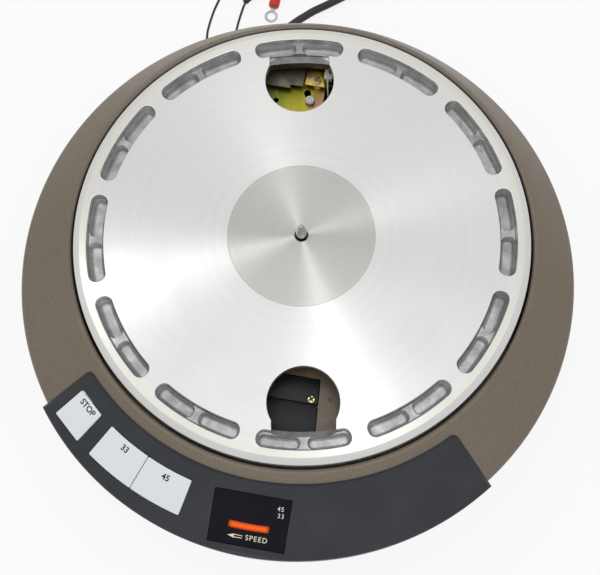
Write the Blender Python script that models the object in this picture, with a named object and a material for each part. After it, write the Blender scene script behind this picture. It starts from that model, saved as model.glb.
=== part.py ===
"""A direct-drive turntable motor unit, built as separate pieces.

Lengths are in metres. Z runs up the spindle, the control panel faces -Y, and the
origin is where the spindle's axis meets the surface that the unit stands on.
"""
import math

import bmesh
import bpy
from mathutils import Matrix, Vector

# Fits and working allowances that all pieces share
GAP = 0.0003
RUNNING_FIT = 0.00006
OVERRUN = 0.003
MERGE = 0.000001

# Sides of round pieces, and steps along arcs
RING_SIDES = 60
CUP_SIDES = 36
DRUM_SIDES = 28
SHAFT_SIDES = 20
FASTENER_SIDES = 8
HEXAGON_SIDES = 6
ROUTE_STEPS = 40
MILLIMETRES = 1000
END_STEPS = 4
SHARP_ANGLE = math.radians(32)

# Roughness and colours that pieces share
SATIN = 0.45
POLISHED = 0.35
PAINT_METALLIC = 0.3
ZINC = (0.6, 0.6, 0.6)
BLACK = (0.02, 0.02, 0.02)

# Chassis casting: a sloped ring whose rim is set forward of the spindle
FLANGE_HEIGHT = 0.090
FLOOR_RISE = 0.003
FLOOR_THICKNESS = 0.004
WELL_RADIUS = 0.158
WELL_WALL = 0.0035
LEDGE_WIDTH = 0.017
WEB_WIDTH = 0.072
WEB_ANGLES = (-80, -49)
WEB_EDGE = 0.0312
WEB_RELIEF_Y = (-0.1370, -0.0700)
LIP_DROP = 0.001
LIP_WIDTH = 0.003
RIDGE_HEIGHT = 0.122
RIM_SPREAD = 0.0335
RIM_OFFSET = 0.020
RIM_DROP = 0.018
RIM_EDGE = 0.0012
SKIRT_WALL = 0.0035
SKIN = 0.0038
LIGHT_PORT_WIDTH = 0.028
LIGHT_PORT_HEIGHT = 0.008
LIGHT_PORT_SILL = 0.002

# Control panel, on the front of the casting
PANEL_HALF_ANGLE = 46.9
PANEL_INSET = 0.0094
PANEL_PROUD = 0.004
PANEL_RISE = 0.0023
PANEL_BEVEL = 0.003
PANEL_EDGE = 0.001
APRON_RISE = 0.002
PANEL_STEPS = 20
PEG_RADIUS = 0.0024
PEG_INSET = 0.0015
PEG_ANGLES = (-125.65, -100.7, -60)
PEG_POST_RADIUS = 0.0042
OPENING_INSET = 0.0056
OPENING_SILL = 0.0108
OPENING_MARGIN = 0.0006

# Buttons: each a sector of the panel between two angles and two radii
BUTTON_INSET = 0.0121
BUTTON_DEPTH = 0.0235
BUTTON_GAP = 0.0005
BUTTON_PROUD = 0.001
BUTTON_BASE_RISE = 0.014
BUTTON_STEPS = 4
STOP_ANGLES = (-134.2, -127.3)
ANGLES_33 = (-124.0, -113.8)
ANGLES_45 = (-113.8, -103.3)
BUTTON_TRAVEL = 0.0025
STEM_RADIUS = 0.0025
STEM_CLEARANCE = 0.0006
SWITCH_WIDTH = 0.014
SWITCH_HEIGHT = 0.0052

# Strobe window in the panel, and what stands under it
WINDOW_HALF_WIDTH = 0.0257
WINDOW_INSET = 0.0086
WINDOW_DEPTH = 0.0338
WINDOW_RECESS = 0.001
WINDOW_THICKNESS = 0.002
WINDOW_STEPS = 6
SLOT_INSET = 0.021
SLOT_WIDTH = 0.005
SLOT_HALF_ANGLE = 4.05
DIFFUSER_LIP = 0.002
DIFFUSER_THICKNESS = 0.0012
LAMP_RADIUS = 0.003
LAMP_LENGTH = 0.018
LAMP_STAND_LENGTH = 0.012
LAMP_STAND_WIDTH = 0.005
LAMP_STAND_HEIGHT = 0.0064

# Switch plate under the panel
SWITCH_PLATE_RISE = 0.001
SWITCH_PLATE_THICKNESS = 0.001
SWITCH_PLATE_INSET = 0.001
SWITCH_PLATE_END_ANGLE = 4

# Platter
PLATTER_GAP = 0.002
PLATTER_TOP = 0.127
PLATTER_PLATE = 0.006
PLATTER_RIM_DEPTH = 0.023
PLATTER_RIM_WIDTH = 0.024
CHAMFER_WIDTH = 0.0045
CHAMFER_DROP = 0.0032
RIM_CHAMFER = 0.001
LABEL_RADIUS = 0.05024
LABEL_RECESS = 0.0004
CENTRE_HOLE_RADIUS = 0.0045
PLATTER_BOSS_RADIUS = 0.022
PLATTER_BOSS_HEIGHT = 0.009
POCKET_COUNT = 12
POCKET_PHASE = 10.7
POCKET_INSET = 0.0095
POCKET_WIDTH = 0.0115
POCKET_HALF_ANGLE = 12.7
POCKET_DEPTH = 0.0045
CELL_DEPTH = 0.0125
CELL_INSET = 0.0007
CELL_RIB_HALF_ANGLE = 0.9
CELL_LEDGE = 0.002
CELL_CORNER = 0.003
FINGER_PHASE = 100.7
FINGER_HOLE_RADIUS = 0.024
FINGER_HOLE_INSET = 0.041
FINGER_NECK_WIDTH = 0.042
FINGER_NECK_SILL = 0.002
FINGER_LAND_DEPTH = 0.0095
FINGER_LAND_OVERLAP = 0.0003
FINGER_STEPS = 16
PULSE_RING_WIDTH = 0.006
PULSE_RING_HEIGHT = 0.001
PULSE_RING_INSET = 0.005

# Rotor and spindle
SPINDLE_RADIUS = 0.0036
SPINDLE_HEIGHT = 0.1453
SPINDLE_CONE = 0.005
SPINDLE_TIP_RADIUS = 0.0012
JOURNAL_RADIUS = 0.005
JOURNAL_FOOT_RISE = 0.0065
HUB_FLANGE_RADIUS = 0.030
HUB_FLANGE_THICKNESS = 0.0037
HUB_SPIGOT_RADIUS = 0.009
HUB_SPIGOT_HEIGHT = 0.0033
HUB_BOSS_RADIUS = 0.011
BELL_RADIUS = 0.050
BELL_WALL = 0.0042
BELL_WEB = 0.002
BELL_HEIGHT = 0.044
BELL_DROP = 0.0067

# Motor housing and stator, hung under the chassis plate
COVER_RADIUS = 0.054
COVER_WALL = 0.0012
COVER_DEPTH = 0.0624
COVER_FLANGE_WIDTH = 0.0112
HOUSING_FOOT_RADIUS = 0.034
HOUSING_FOOT_HEIGHT = 0.0035
HOUSING_SHOULDER_RADIUS = 0.024
HOUSING_RADIUS = 0.0197
HOUSING_HEIGHT = 0.0465
HOUSING_BORE = 0.0075
SHOULDER_HEIGHT = 0.016
BUSHING_INSET = 0.002
BALL_RADIUS = 0.0025
THRUST_CAP_RADIUS = 0.010
THRUST_CAP_HEIGHT = 0.0027
AIR_GAP = 0.0008
CORE_HEIGHT = 0.028
CORE_YOKE = 0.010
TOOTH_COUNT = 12
TOOTH_WIDTH = 0.007
TOOTH_TIP = 0.003
TOOTH_TIP_SHARE = 0.72
WINDING_THICKNESS = 0.0042

# Chassis plate
PLATE_INSET = 0.004
PLATE_THICKNESS = 0.002
PLATE_HOLE_RADIUS = 0.014
SMALL_HOLE_RADIUS = 0.002
SMALL_HOLE_PLACE = (-0.0390, 0.1102)

# Fasteners
M4_RADIUS = 0.002
M4_HEAD_RADIUS = 0.0038
M4_HEAD_HEIGHT = 0.0022
M4_LENGTH = 0.003
MOTOR_SCREW_COUNT = 3
MOTOR_SCREW_PHASE = 45
PANEL_SCREW_RADIUS = 0.0013
PANEL_SCREW_HEAD_RADIUS = 0.0028
PANEL_SCREW_LENGTH = 0.007
M3_RADIUS = 0.0015
M3_HEAD_HEIGHT = 0.0016
CAN_SCREW_COUNT = 3
CAN_SCREW_PHASE = 15
CAN_SCREW_SHARE = 0.6
CAN_SCREW_LENGTH = 0.0065
CAN_SCREW_HEAD_RADIUS = 0.003
SCREW_ROOM = 0.0003

# Bottom can
CAN_INSET = 0.0115
CAN_WALL = 0.0012
CAN_FLANGE_WIDTH = 0.0075
CAN_EDGE = 0.0025

# Servo board on nylon supports
BOARD_WIDTH = 0.120
BOARD_DEPTH = 0.058
BOARD_INSET = 0.0495
BOARD_THICKNESS = 0.0016
BOARD_HEIGHT = 0.060
SUPPORT_PLACES = ((-0.0142, 0.1130), (0.0520, 0.0960), (-0.0520, 0.0790))
SUPPORT_RADIUS = 0.0035
SUPPORT_NECK_RADIUS = 0.002
SUPPORT_HEAD_HEIGHT = 0.004
SUPPORT_FOOT_HEIGHT = 0.002
KEYHOLE_END = (-0.0172, 0.1196)
KEYHOLE_RADIUS = 0.0026
KEYHOLE_MOUTH = 105
CAPACITOR_RADIUS = 0.011
CAPACITOR_HEIGHT = 0.025
CAPACITOR_PLACE_SHARES = (0.12, -0.1)

# Transformer in its bracket
TRANSFORMER_INSET = 0.0445
CORE_SIZE = (0.044, 0.066, 0.054)
LEG_WIDTH = 0.022
CORE_WINDOW_WIDTH = 0.011
CORE_BAND = 0.011
WINDING_OVERHANG = 0.008

# Pieces seen through the rear finger hole
HEAD_BRACKET_X = (-0.0200, -0.0050)
HEAD_BRACKET_Y = (0.1235, 0.1515)
HEAD_EAR_END = -0.0004
HEAD_EAR_FRONT = 0.1285
HEAD_BRACKET_THICKNESS = 0.0012
HEAD_BOSS_RADIUS = 0.004
HEAD_SCREW_PLACE = (-0.0110, 0.1274)
HEAD_SCREW_RADIUS = 0.0014
HEAD_SCREW_HEAD_RADIUS = 0.0029
HEAD_SCREW_HEAD_HEIGHT = 0.002
PULSE_HEAD_X = (-0.0068, -0.0006)
PULSE_HEAD_Y = (0.1290, 0.1430)
PULSE_HEAD_HEIGHT = 0.0034
HEAD_LEAD_DIAMETER = 0.0012
HEAD_LEAD_END = (-0.0018, 0.1187)
HEAD_LEAD_BEND_SHARE = 0.5
LEAD_SLOT_X = (-0.0048, 0.0040)
LEAD_SLOT_Y = (0.1120, 0.1275)
SHIELD_X = (-0.0520, -0.0209)
SHIELD_Y = (0.1190, 0.1450)
SHIELD_NOTCH = 0.0028
SHIELD_NOTCH_X = -0.0300
SHIELD_THICKNESS = 0.001

# Pieces seen through the front finger hole
COVER_X = (-0.0300, 0.0304)
REAR_COVER_Y = (-0.1082, -0.0902)
FRONT_COVER_Y = (-0.1263, -0.1087)
REAR_COVER_HEIGHT = 0.004
FRONT_COVER_HEIGHT = 0.0032
COVER_SCREW_PLACE = (0.0251, -0.1050)
COVER_SCREW_LENGTH = 0.003

# Mains lead
FLOOR_GAP = 0.0001
CORD_DIAMETER = 0.0065
CORD_STEP_SHARE = 2.2
GLAND_ANGLE = 112
GLAND_HEIGHT = 0.015
GLAND_FLANGE_RADIUS = 0.008
GLAND_NECK_RADIUS = 0.005
GLAND_FLANGE_THICKNESS = 0.003
GLAND_SNOUT_RADIUS = 0.0055
GLAND_SNOUT_LENGTH = 0.018
GLAND_END_RADIUS = 0.0039
COIL_CENTRE = (0.0014, 0.3305)
COIL_TURNS = 3
COIL_RADIUS = 0.035
COIL_PITCH = 0.0080
COIL_START_ANGLE = -37
COIL_POINTS = 24
COIL_CLIMB_TURNS = 0.5
PLUG_LENGTH = 0.036
PLUG_HALF_WIDTH = 0.012
PLUG_WAIST = 0.0052
PLUG_NECK_LENGTH = 0.012
PLUG_EDGE_SHARE = 0.33
BLADE_SPACING = 0.0127
BLADE_LENGTH = 0.017
BLADE_WIDTH = 0.0063
BLADE_THICKNESS = 0.0015
BLADE_ROOT = 0.004
CORD_ROUTE = (
    (-0.0690, 0.1760, 0.0085), (-0.0655, 0.1930, 0.0042), (-0.0565, 0.2100, 0.0034),
    (-0.0438, 0.2247, 0.0034), (-0.0300, 0.2374, 0.0034), (-0.0157, 0.2478, 0.0034),
    (0.0020, 0.2640, 0.0034), (0.0180, 0.2810, 0.0034),
)

# Two thin leads with ring terminals
LEAD_DIAMETER = 0.002
LEAD_STEP_SHARE = 3.5
LEAD_SPACING = 0.004
GROMMET_ANGLE = 121
GROMMET_HEIGHT = 0.011
GROMMET_RADIUS = 0.006
GROMMET_NECK_RADIUS = 0.0045
GROMMET_LIP = 0.002
SLEEVE_RADIUS = 0.0045
SLEEVE_LENGTH = 0.014
TERMINAL_RADIUS = 0.0055
TERMINAL_HOLE_RADIUS = 0.0034
TERMINAL_THICKNESS = 0.001
TERMINAL_TONGUE = 0.003
EARTH_ROUTE = (
    (-0.0960, 0.1590, 0.0040), (-0.1090, 0.1790, 0.0016), (-0.1165, 0.1961, 0.0014),
    (-0.1164, 0.2148, 0.0014), (-0.1137, 0.2312, 0.0014), (-0.1080, 0.2500, 0.0014),
    (-0.0960, 0.2650, 0.0018), (-0.0800, 0.2700, 0.0030),
)
SECOND_ROUTE = (
    (-0.0880, 0.1620, 0.0040), (-0.0920, 0.1860, 0.0016), (-0.0936, 0.2084, 0.0018),
)
EARTH_SLEEVE = (-0.0662, 0.2460)
EARTH_SLEEVE_ANGLE = -92
SECOND_SLEEVE = (-0.0905, 0.2325)
SECOND_SLEEVE_ANGLE = 78

# Heights and radii that follow from the sizes above
PLATTER_RADIUS = WELL_RADIUS - PLATTER_GAP
POCKET_OUTER_RADIUS = PLATTER_RADIUS - POCKET_INSET
POCKET_INNER_RADIUS = POCKET_OUTER_RADIUS - POCKET_WIDTH
FINGER_HOLE_CENTRE = PLATTER_RADIUS - FINGER_HOLE_INSET
FINGER_NECK_RADIUS = POCKET_INNER_RADIUS - FINGER_NECK_SILL
FINGER_NECK_TURN = math.degrees(math.asin(FINGER_NECK_WIDTH / 2 / FINGER_NECK_RADIUS))
FINGER_LAND_RADII = (
    FINGER_NECK_RADIUS - 2 * CELL_CORNER, POCKET_INNER_RADIUS + CELL_LEDGE + FINGER_LAND_OVERLAP)
CAN_RADIUS = WELL_RADIUS - CAN_INSET
PLATE_RADIUS = WELL_RADIUS - PLATE_INSET
BOARD_CENTRE_Y = CAN_RADIUS - BOARD_INSET
TRANSFORMER_CENTRE_X = CAN_RADIUS - TRANSFORMER_INSET
PANEL_INNER_RADIUS = WELL_RADIUS + PANEL_INSET
RIM_RADIUS = WELL_RADIUS + RIM_SPREAD
PANEL_RADIUS = RIM_RADIUS + PANEL_PROUD
PEG_RING_RADIUS = RIM_RADIUS - PEG_INSET
OPENING_INNER_RADIUS = PANEL_INNER_RADIUS + OPENING_INSET
BUTTON_INNER_RADIUS = PANEL_INNER_RADIUS + BUTTON_INSET
BUTTON_OUTER_RADIUS = BUTTON_INNER_RADIUS + BUTTON_DEPTH
WINDOW_INNER = PANEL_INNER_RADIUS + WINDOW_INSET
WINDOW_OUTER = WINDOW_INNER + WINDOW_DEPTH
SLOT_RADIUS = WINDOW_INNER + SLOT_INSET
SWITCH_PLATE_INNER_RADIUS = WELL_RADIUS + WELL_WALL + SWITCH_PLATE_INSET
FLOOR_UNDERSIDE = FLANGE_HEIGHT + FLOOR_RISE
FLOOR_TOP = FLOOR_UNDERSIDE + FLOOR_THICKNESS
LEDGE_RADIUS = WELL_RADIUS - LEDGE_WIDTH
WEB_RADIUS = WELL_RADIUS - WEB_WIDTH
RIDGE_RADIUS = WELL_RADIUS + LIP_WIDTH
RIM_HEIGHT = RIDGE_HEIGHT - RIM_DROP
PLATE_TOP = FLOOR_UNDERSIDE - GAP
PLATE_UNDERSIDE = PLATE_TOP - PLATE_THICKNESS
HUNG_TOP = PLATE_UNDERSIDE - GAP
APRON_HEIGHT = FLANGE_HEIGHT + APRON_RISE
OPENING_FLOOR = FLANGE_HEIGHT + OPENING_SILL
BUTTON_BASE = FLANGE_HEIGHT + BUTTON_BASE_RISE
SWITCH_PLATE_BASE = FLANGE_HEIGHT + SWITCH_PLATE_RISE
SWITCH_PLATE_TOP = SWITCH_PLATE_BASE + SWITCH_PLATE_THICKNESS
SWITCH_BASE = SWITCH_PLATE_TOP + GAP
SWITCH_TOP = SWITCH_BASE + SWITCH_HEIGHT
BUTTON_MIDDLE = (BUTTON_INNER_RADIUS + BUTTON_OUTER_RADIUS) / 2
PLATTER_UNDERSIDE = PLATTER_TOP - PLATTER_PLATE
PLATTER_RIM_BASE = PLATTER_TOP - PLATTER_RIM_DEPTH
PLATTER_RIM_INNER = PLATTER_RADIUS - PLATTER_RIM_WIDTH
BOSS_BASE = PLATTER_UNDERSIDE - PLATTER_BOSS_HEIGHT
HUB_TOP = BOSS_BASE - GAP
COVER_FLANGE_BASE = HUNG_TOP - COVER_WALL
COVER_BASE = HUNG_TOP - COVER_DEPTH
HOUSING_BASE = COVER_BASE + COVER_WALL + GAP
CORE_SEAT = HOUSING_BASE + SHOULDER_HEIGHT
JOURNAL_FOOT = HOUSING_BASE + JOURNAL_FOOT_RISE
BELL_TOP = HUNG_TOP - BELL_DROP
STATOR_RADIUS = BELL_RADIUS - BELL_WALL - AIR_GAP
POST_BASE = SWITCH_PLATE_TOP + GAP
PEG_BASE = POST_BASE + GAP
COVER_SCREW_RING = COVER_RADIUS + COVER_FLANGE_WIDTH / 2
CAN_SCREW_RING = CAN_RADIUS + CAN_FLANGE_WIDTH * CAN_SCREW_SHARE
GLAND_FACE = CAN_RADIUS + GLAND_FLANGE_THICKNESS + GLAND_SNOUT_LENGTH
HEAD_BRACKET_BASE = FLOOR_TOP + GAP
HEAD_BRACKET_TOP = HEAD_BRACKET_BASE + HEAD_BRACKET_THICKNESS


def polar(radius, degrees):
    """The point at a radius and an angle round the spindle."""
    turn = math.radians(degrees)
    return (radius * math.cos(turn), radius * math.sin(turn))


def spread(first, last, steps):
    """Evenly spaced values from the first to the last, both included."""
    return [first + (last - first) * step / steps for step in range(steps + 1)]


def circle_distance(degrees, circle_radius):
    """How far from the spindle a circle set forward by the rim's offset is, at an angle."""
    along = -RIM_OFFSET * math.sin(math.radians(degrees))
    return along + math.sqrt(along ** 2 - RIM_OFFSET ** 2 + circle_radius ** 2)


def slope_height(x, y):
    """Height of the casting's sloped top over a place, run on past the rim."""
    rim = circle_distance(math.degrees(math.atan2(y, x)), RIM_RADIUS)
    share = (math.hypot(x, y) - RIDGE_RADIUS) / (rim - RIDGE_RADIUS)
    return RIDGE_HEIGHT - RIM_DROP * share


def slope_at(radius, degrees):
    """Height of the casting's sloped top at a radius and an angle."""
    return slope_height(*polar(radius, degrees))


def link(name, data):
    """Puts a new object in the scene."""
    piece = bpy.data.objects.new(name, data)
    bpy.context.scene.collection.objects.link(piece)
    return piece


def finish(piece, colour, roughness, metallic):
    """Gives a piece a material of its own."""
    material = bpy.data.materials.new(piece.name + "_finish")
    material.use_nodes = True
    shader = material.node_tree.nodes["Principled BSDF"]
    shader.inputs["Base Color"].default_value = (*colour, 1)
    shader.inputs["Roughness"].default_value = roughness
    shader.inputs["Metallic"].default_value = metallic
    piece.data.materials.append(material)
    return piece


def painted(piece, colour):
    """Satin paint on metal."""
    return finish(piece, colour, SATIN, PAINT_METALLIC)


def bare_metal(piece, colour):
    """Machined or plated metal."""
    return finish(piece, colour, POLISHED, 1)


def plastic(piece, colour):
    """Moulded plastic or rubber."""
    return finish(piece, colour, SATIN, 0)


def solid(name, shape):
    """Turns a finished bmesh into an object, faces out and round faces smooth."""
    shape.normal_update()
    bmesh.ops.recalc_face_normals(shape, faces=shape.faces)
    mesh = bpy.data.meshes.new(name)
    shape.to_mesh(mesh)
    shape.free()
    mesh.shade_smooth()
    mesh.set_sharp_from_angle(angle=SHARP_ANGLE)
    return link(name, mesh)


def helper(piece):
    """Marks an object as a cutter or an added shape that is not a piece itself."""
    piece.hide_render = True
    piece.display_type = "WIRE"
    return piece


def combine(piece, other, operation):
    """Cuts or joins a helper shape."""
    change = piece.modifiers.new(other.name, "BOOLEAN")
    change.operation = operation
    change.object = helper(other)
    return piece


def cut(piece, shape):
    """Takes a shape out of a piece."""
    return combine(piece, solid(piece.name + "_cut", shape), "DIFFERENCE")


def join(piece, shape):
    """Adds a shape to a piece."""
    return combine(piece, solid(piece.name + "_add", shape), "UNION")


def move_origin(piece, place):
    """Sets a moving piece's origin on its joint's axis."""
    piece.data.transform(Matrix.Translation(-Vector(place)))
    piece.location = place
    return piece


def loft(shape, sections, closed=False):
    """Skins closed sections of equal counts, with end faces unless the run is closed."""
    rows = [[shape.verts.new(point) for point in section] for section in sections]
    pairs = list(zip(rows, rows[1:]))
    if closed:
        pairs.append((rows[-1], rows[0]))
    else:
        shape.faces.new(rows[0])
        shape.faces.new(rows[-1])
    count = len(rows[0])
    for near, far in pairs:
        for index in range(count):
            after = (index + 1) % count
            shape.faces.new((near[index], near[after], far[after], far[index]))
    return shape


def prism(shape, outline, low, high):
    """Raises a flat outline from one height to another."""
    face = shape.faces.new([shape.verts.new((x, y, low)) for x, y in outline])
    raised = bmesh.ops.extrude_face_region(shape, geom=[face])["geom"]
    top = [item for item in raised if isinstance(item, bmesh.types.BMVert)]
    bmesh.ops.translate(shape, verts=top, vec=(0, 0, high - low))
    return shape


def block(shape, across, along, heights):
    """A box between two places on each axis."""
    outline = [(across[0], along[0]), (across[1], along[0]), (across[1], along[1]), (across[0], along[1])]
    return prism(shape, outline, *heights)


def turned(shape, outline, sides, centre=(0, 0)):
    """Turns an outline of radii and heights about an upright axis."""
    start = [shape.verts.new((centre[0] + radius, centre[1], height)) for radius, height in outline]
    edges = []
    for near, far, ends in zip(start, start[1:] + start[:1], zip(outline, outline[1:] + outline[:1])):
        if ends[0][0] or ends[1][0]:
            edges.append(shape.edges.new((near, far)))
    bmesh.ops.spin(
        shape, geom=start + edges, cent=(*centre, 0), axis=(0, 0, 1),
        angle=math.tau, steps=sides, use_merge=True)
    bmesh.ops.remove_doubles(shape, verts=shape.verts, dist=MERGE)
    return shape


def disc(shape, radius, low, high, sides, centre=(0, 0)):
    """A plain upright cylinder."""
    return turned(shape, [(0, low), (radius, low), (radius, high), (0, high)], sides, centre)


def sector(shape, radii, angles, low, high, steps):
    """A part of a ring; low and high give heights at a radius and an angle."""
    sections = []
    for degrees in spread(*angles, steps):
        inner, outer = polar(radii[0], degrees), polar(radii[1], degrees)
        sections.append([
            (*inner, low(radii[0], degrees)), (*outer, low(radii[1], degrees)),
            (*outer, high(radii[1], degrees)), (*inner, high(radii[0], degrees))])
    return loft(shape, sections)


def level(height):
    """A height that is the same everywhere, as sector asks for it."""
    return lambda radius, degrees: height


def above_slope(rise):
    """A height over the casting's slope, as sector asks for it."""
    return lambda radius, degrees: slope_at(radius, degrees) + rise


def screw_shape(shape, place, seat, head, shank, upward):
    """A screw: head is radius and height, shank is radius and length; the shank points up or down."""
    way = 1 if upward else -1
    outline = [
        (0, seat - way * head[1]), (head[0], seat - way * head[1]), (head[0], seat),
        (shank[0], seat), (shank[0], seat + way * shank[1]), (0, seat + way * shank[1])]
    return turned(shape, outline, FASTENER_SIDES, place)


def smooth_route(points, spacing):
    """Evenly spaced points on a smooth curve through the given ones, its first and last runs straight."""
    knots = [Vector(point) for point in points]
    fine = []
    for before, near, far, after in zip(knots, knots[1:], knots[2:], knots[3:]):
        for share in spread(0, 1, ROUTE_STEPS)[:-1]:
            fine.append(0.5 * (
                2 * near + (far - before) * share
                + (2 * before - 5 * near + 4 * far - after) * share ** 2
                + (3 * near - before - 3 * far + after) * share ** 3))
    fine.append(knots[-2])
    travelled = [0]
    for near, far in zip(fine, fine[1:]):
        travelled.append(travelled[-1] + (far - near).length)
    count = max(2, round(travelled[-1] / spacing))
    picked = []
    index = 0
    for wanted in spread(0, travelled[-1], count):
        while index < len(fine) - 2 and travelled[index + 1] < wanted:
            index += 1
        share = (wanted - travelled[index]) / (travelled[index + 1] - travelled[index])
        picked.append(fine[index].lerp(fine[index + 1], share))
    return knots[:1] + picked + knots[-1:]


def tube(name, points, diameter, resolution):
    """A round cord along its points, closed at both ends."""
    curve = bpy.data.curves.new(name, "CURVE")
    curve.dimensions = "3D"
    curve.bevel_depth = diameter / 2
    curve.bevel_resolution = resolution
    curve.use_fill_caps = True
    line = curve.splines.new("POLY")
    line.points.add(len(points) - 1)
    for slot, point in zip(line.points, points):
        slot.co = (*point, 1)
    return link(name, curve)


def least_gap(points, diameter, apart):
    """The least room between stretches of one tube that lie more than some points apart."""
    least = min(
        (far - near).length
        for index, near in enumerate(points) for far in points[index + apart:])
    return least - diameter


def casting_section(degrees):
    """The chassis casting's outline at one angle, as points round its section."""
    rim = circle_distance(degrees, RIM_RADIUS)
    webbed = WEB_ANGLES[0] <= degrees <= WEB_ANGLES[1]
    ledge = WEB_RADIUS if webbed else LEDGE_RADIUS
    inside = rim - SKIRT_WALL
    wall = WELL_RADIUS + WELL_WALL
    outline = (
        (ledge, FLOOR_TOP), (WELL_RADIUS, FLOOR_TOP), (WELL_RADIUS, RIDGE_HEIGHT - LIP_DROP),
        (RIDGE_RADIUS, RIDGE_HEIGHT),
        (rim - RIM_EDGE, slope_at(rim - RIM_EDGE, degrees)), (rim, RIM_HEIGHT - RIM_EDGE),
        (rim, FLANGE_HEIGHT), (inside, FLANGE_HEIGHT), (inside, slope_at(inside, degrees) - SKIN),
        (wall, slope_at(wall, degrees) - SKIN), (wall, FLOOR_UNDERSIDE), (ledge, FLOOR_UNDERSIDE))
    return [(*polar(radius, degrees), height) for radius, height in outline]


def chassis_casting():
    """The painted casting: sloped ring, skirt, platter well, posts and openings."""
    shape = bmesh.new()
    turn = 360 / RING_SIDES
    loft(shape, [casting_section(turn * step - 180) for step in range(RING_SIDES)], closed=True)
    piece = solid("chassis_casting", shape)
    posts = bmesh.new()
    for degrees in PEG_ANGLES:
        top = slope_at(PEG_RING_RADIUS, degrees) - SKIN / 2
        disc(posts, PEG_POST_RADIUS, POST_BASE, top, FASTENER_SIDES, polar(PEG_RING_RADIUS, degrees))
    join(piece, posts)
    room = bmesh.new()
    outer = BUTTON_OUTER_RADIUS + OPENING_MARGIN
    margin = math.degrees(OPENING_MARGIN / BUTTON_MIDDLE)
    window = math.degrees(math.asin((WINDOW_HALF_WIDTH + OPENING_MARGIN) / WINDOW_INNER))
    for first, last in (STOP_ANGLES, (ANGLES_33[0], ANGLES_45[1]), (-90 - window, -90 + window)):
        sector(room, (OPENING_INNER_RADIUS, outer), (first - margin, last + margin),
               level(OPENING_FLOOR), above_slope(OVERRUN), PANEL_STEPS // 4)
    for degrees in PEG_ANGLES:
        top = slope_at(PEG_RING_RADIUS, degrees) + OVERRUN
        disc(room, PEG_RADIUS + GAP, POST_BASE - OVERRUN, top, FASTENER_SIDES,
             polar(PEG_RING_RADIUS, degrees))
    for place in can_screw_places():
        disc(room, M3_RADIUS + GAP, FLOOR_UNDERSIDE - OVERRUN,
             COVER_FLANGE_BASE + CAN_SCREW_LENGTH + SCREW_ROOM, FASTENER_SIDES, place)
    half = LIGHT_PORT_WIDTH / 2
    sill = FLOOR_TOP + LIGHT_PORT_SILL
    block(room, (-half, half), (-RIDGE_RADIUS - OVERRUN, -WELL_RADIUS + OVERRUN),
          (sill, sill + LIGHT_PORT_HEIGHT))
    block(room, (-OVERRUN, WEB_EDGE), WEB_RELIEF_Y, (FLOOR_UNDERSIDE - OVERRUN, FLOOR_TOP + OVERRUN))
    cut(piece, room)
    across = spread(-WINDOW_HALF_WIDTH - OPENING_MARGIN, WINDOW_HALF_WIDTH + OPENING_MARGIN, WINDOW_STEPS)
    under = PANEL_RISE - WINDOW_RECESS - WINDOW_THICKNESS - OPENING_MARGIN
    seat = loft(bmesh.new(), [window_section(x, -OPENING_MARGIN, under, OVERRUN) for x in across])
    cut(piece, seat)
    return painted(piece, (0.19, 0.155, 0.115))


def can_screw_places():
    """Where the screws through the can's flange go."""
    turn = 360 / CAN_SCREW_COUNT
    return [polar(CAN_SCREW_RING, CAN_SCREW_PHASE + turn * step) for step in range(CAN_SCREW_COUNT)]


def motor_screw_places():
    """Where the screws through the motor cover's flange go."""
    turn = 360 / MOTOR_SCREW_COUNT
    return [polar(COVER_SCREW_RING, MOTOR_SCREW_PHASE + turn * step) for step in range(MOTOR_SCREW_COUNT)]


def transformer_screw_places():
    """Where the bolts through the transformer's outer legs go."""
    reach = (LEG_WIDTH / 2 + CORE_WINDOW_WIDTH + CORE_SIZE[1] / 2) / 2
    return [(TRANSFORMER_CENTRE_X, side * reach) for side in (-1, 1)]


def keyhole_outline(first, second, small, large):
    """A slot with a small round end and a large round one."""
    run = math.degrees(math.atan2(second[1] - first[1], second[0] - first[0]))
    points = []
    for degrees in spread(run + 90, run + 270, END_STEPS):
        step = polar(small, degrees)
        points.append((first[0] + step[0], first[1] + step[1]))
    for degrees in spread(run - KEYHOLE_MOUTH, run + KEYHOLE_MOUTH, END_STEPS * 2):
        step = polar(large, degrees)
        points.append((second[0] + step[0], second[1] + step[1]))
    return points


def chassis_plate():
    """The zinc-plated plate that carries the motor, under the casting's floor."""
    shape = bmesh.new()
    turned(shape, [
        (PLATE_HOLE_RADIUS, PLATE_UNDERSIDE), (PLATE_RADIUS, PLATE_UNDERSIDE),
        (PLATE_RADIUS, PLATE_TOP), (PLATE_HOLE_RADIUS, PLATE_TOP)], CUP_SIDES)
    piece = solid("chassis_plate", shape)
    holes = bmesh.new()
    low, high = PLATE_UNDERSIDE - OVERRUN, PLATE_TOP + OVERRUN
    for place in can_screw_places():
        disc(holes, M3_RADIUS + GAP, low, high, FASTENER_SIDES, place)
    for place in motor_screw_places() + transformer_screw_places():
        disc(holes, M4_RADIUS + GAP, low, high, FASTENER_SIDES, place)
    for place in SUPPORT_PLACES[1:]:
        disc(holes, SUPPORT_NECK_RADIUS + GAP, low, high, FASTENER_SIDES, place)
    prism(holes, keyhole_outline(
        SUPPORT_PLACES[0], KEYHOLE_END, SUPPORT_NECK_RADIUS + GAP, KEYHOLE_RADIUS), low, high)
    block(holes, LEAD_SLOT_X, LEAD_SLOT_Y, (low, high))
    disc(holes, SMALL_HOLE_RADIUS, low, high, FASTENER_SIDES, SMALL_HOLE_PLACE)
    cut(piece, holes)
    return bare_metal(piece, (0.55, 0.47, 0.20))


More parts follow.
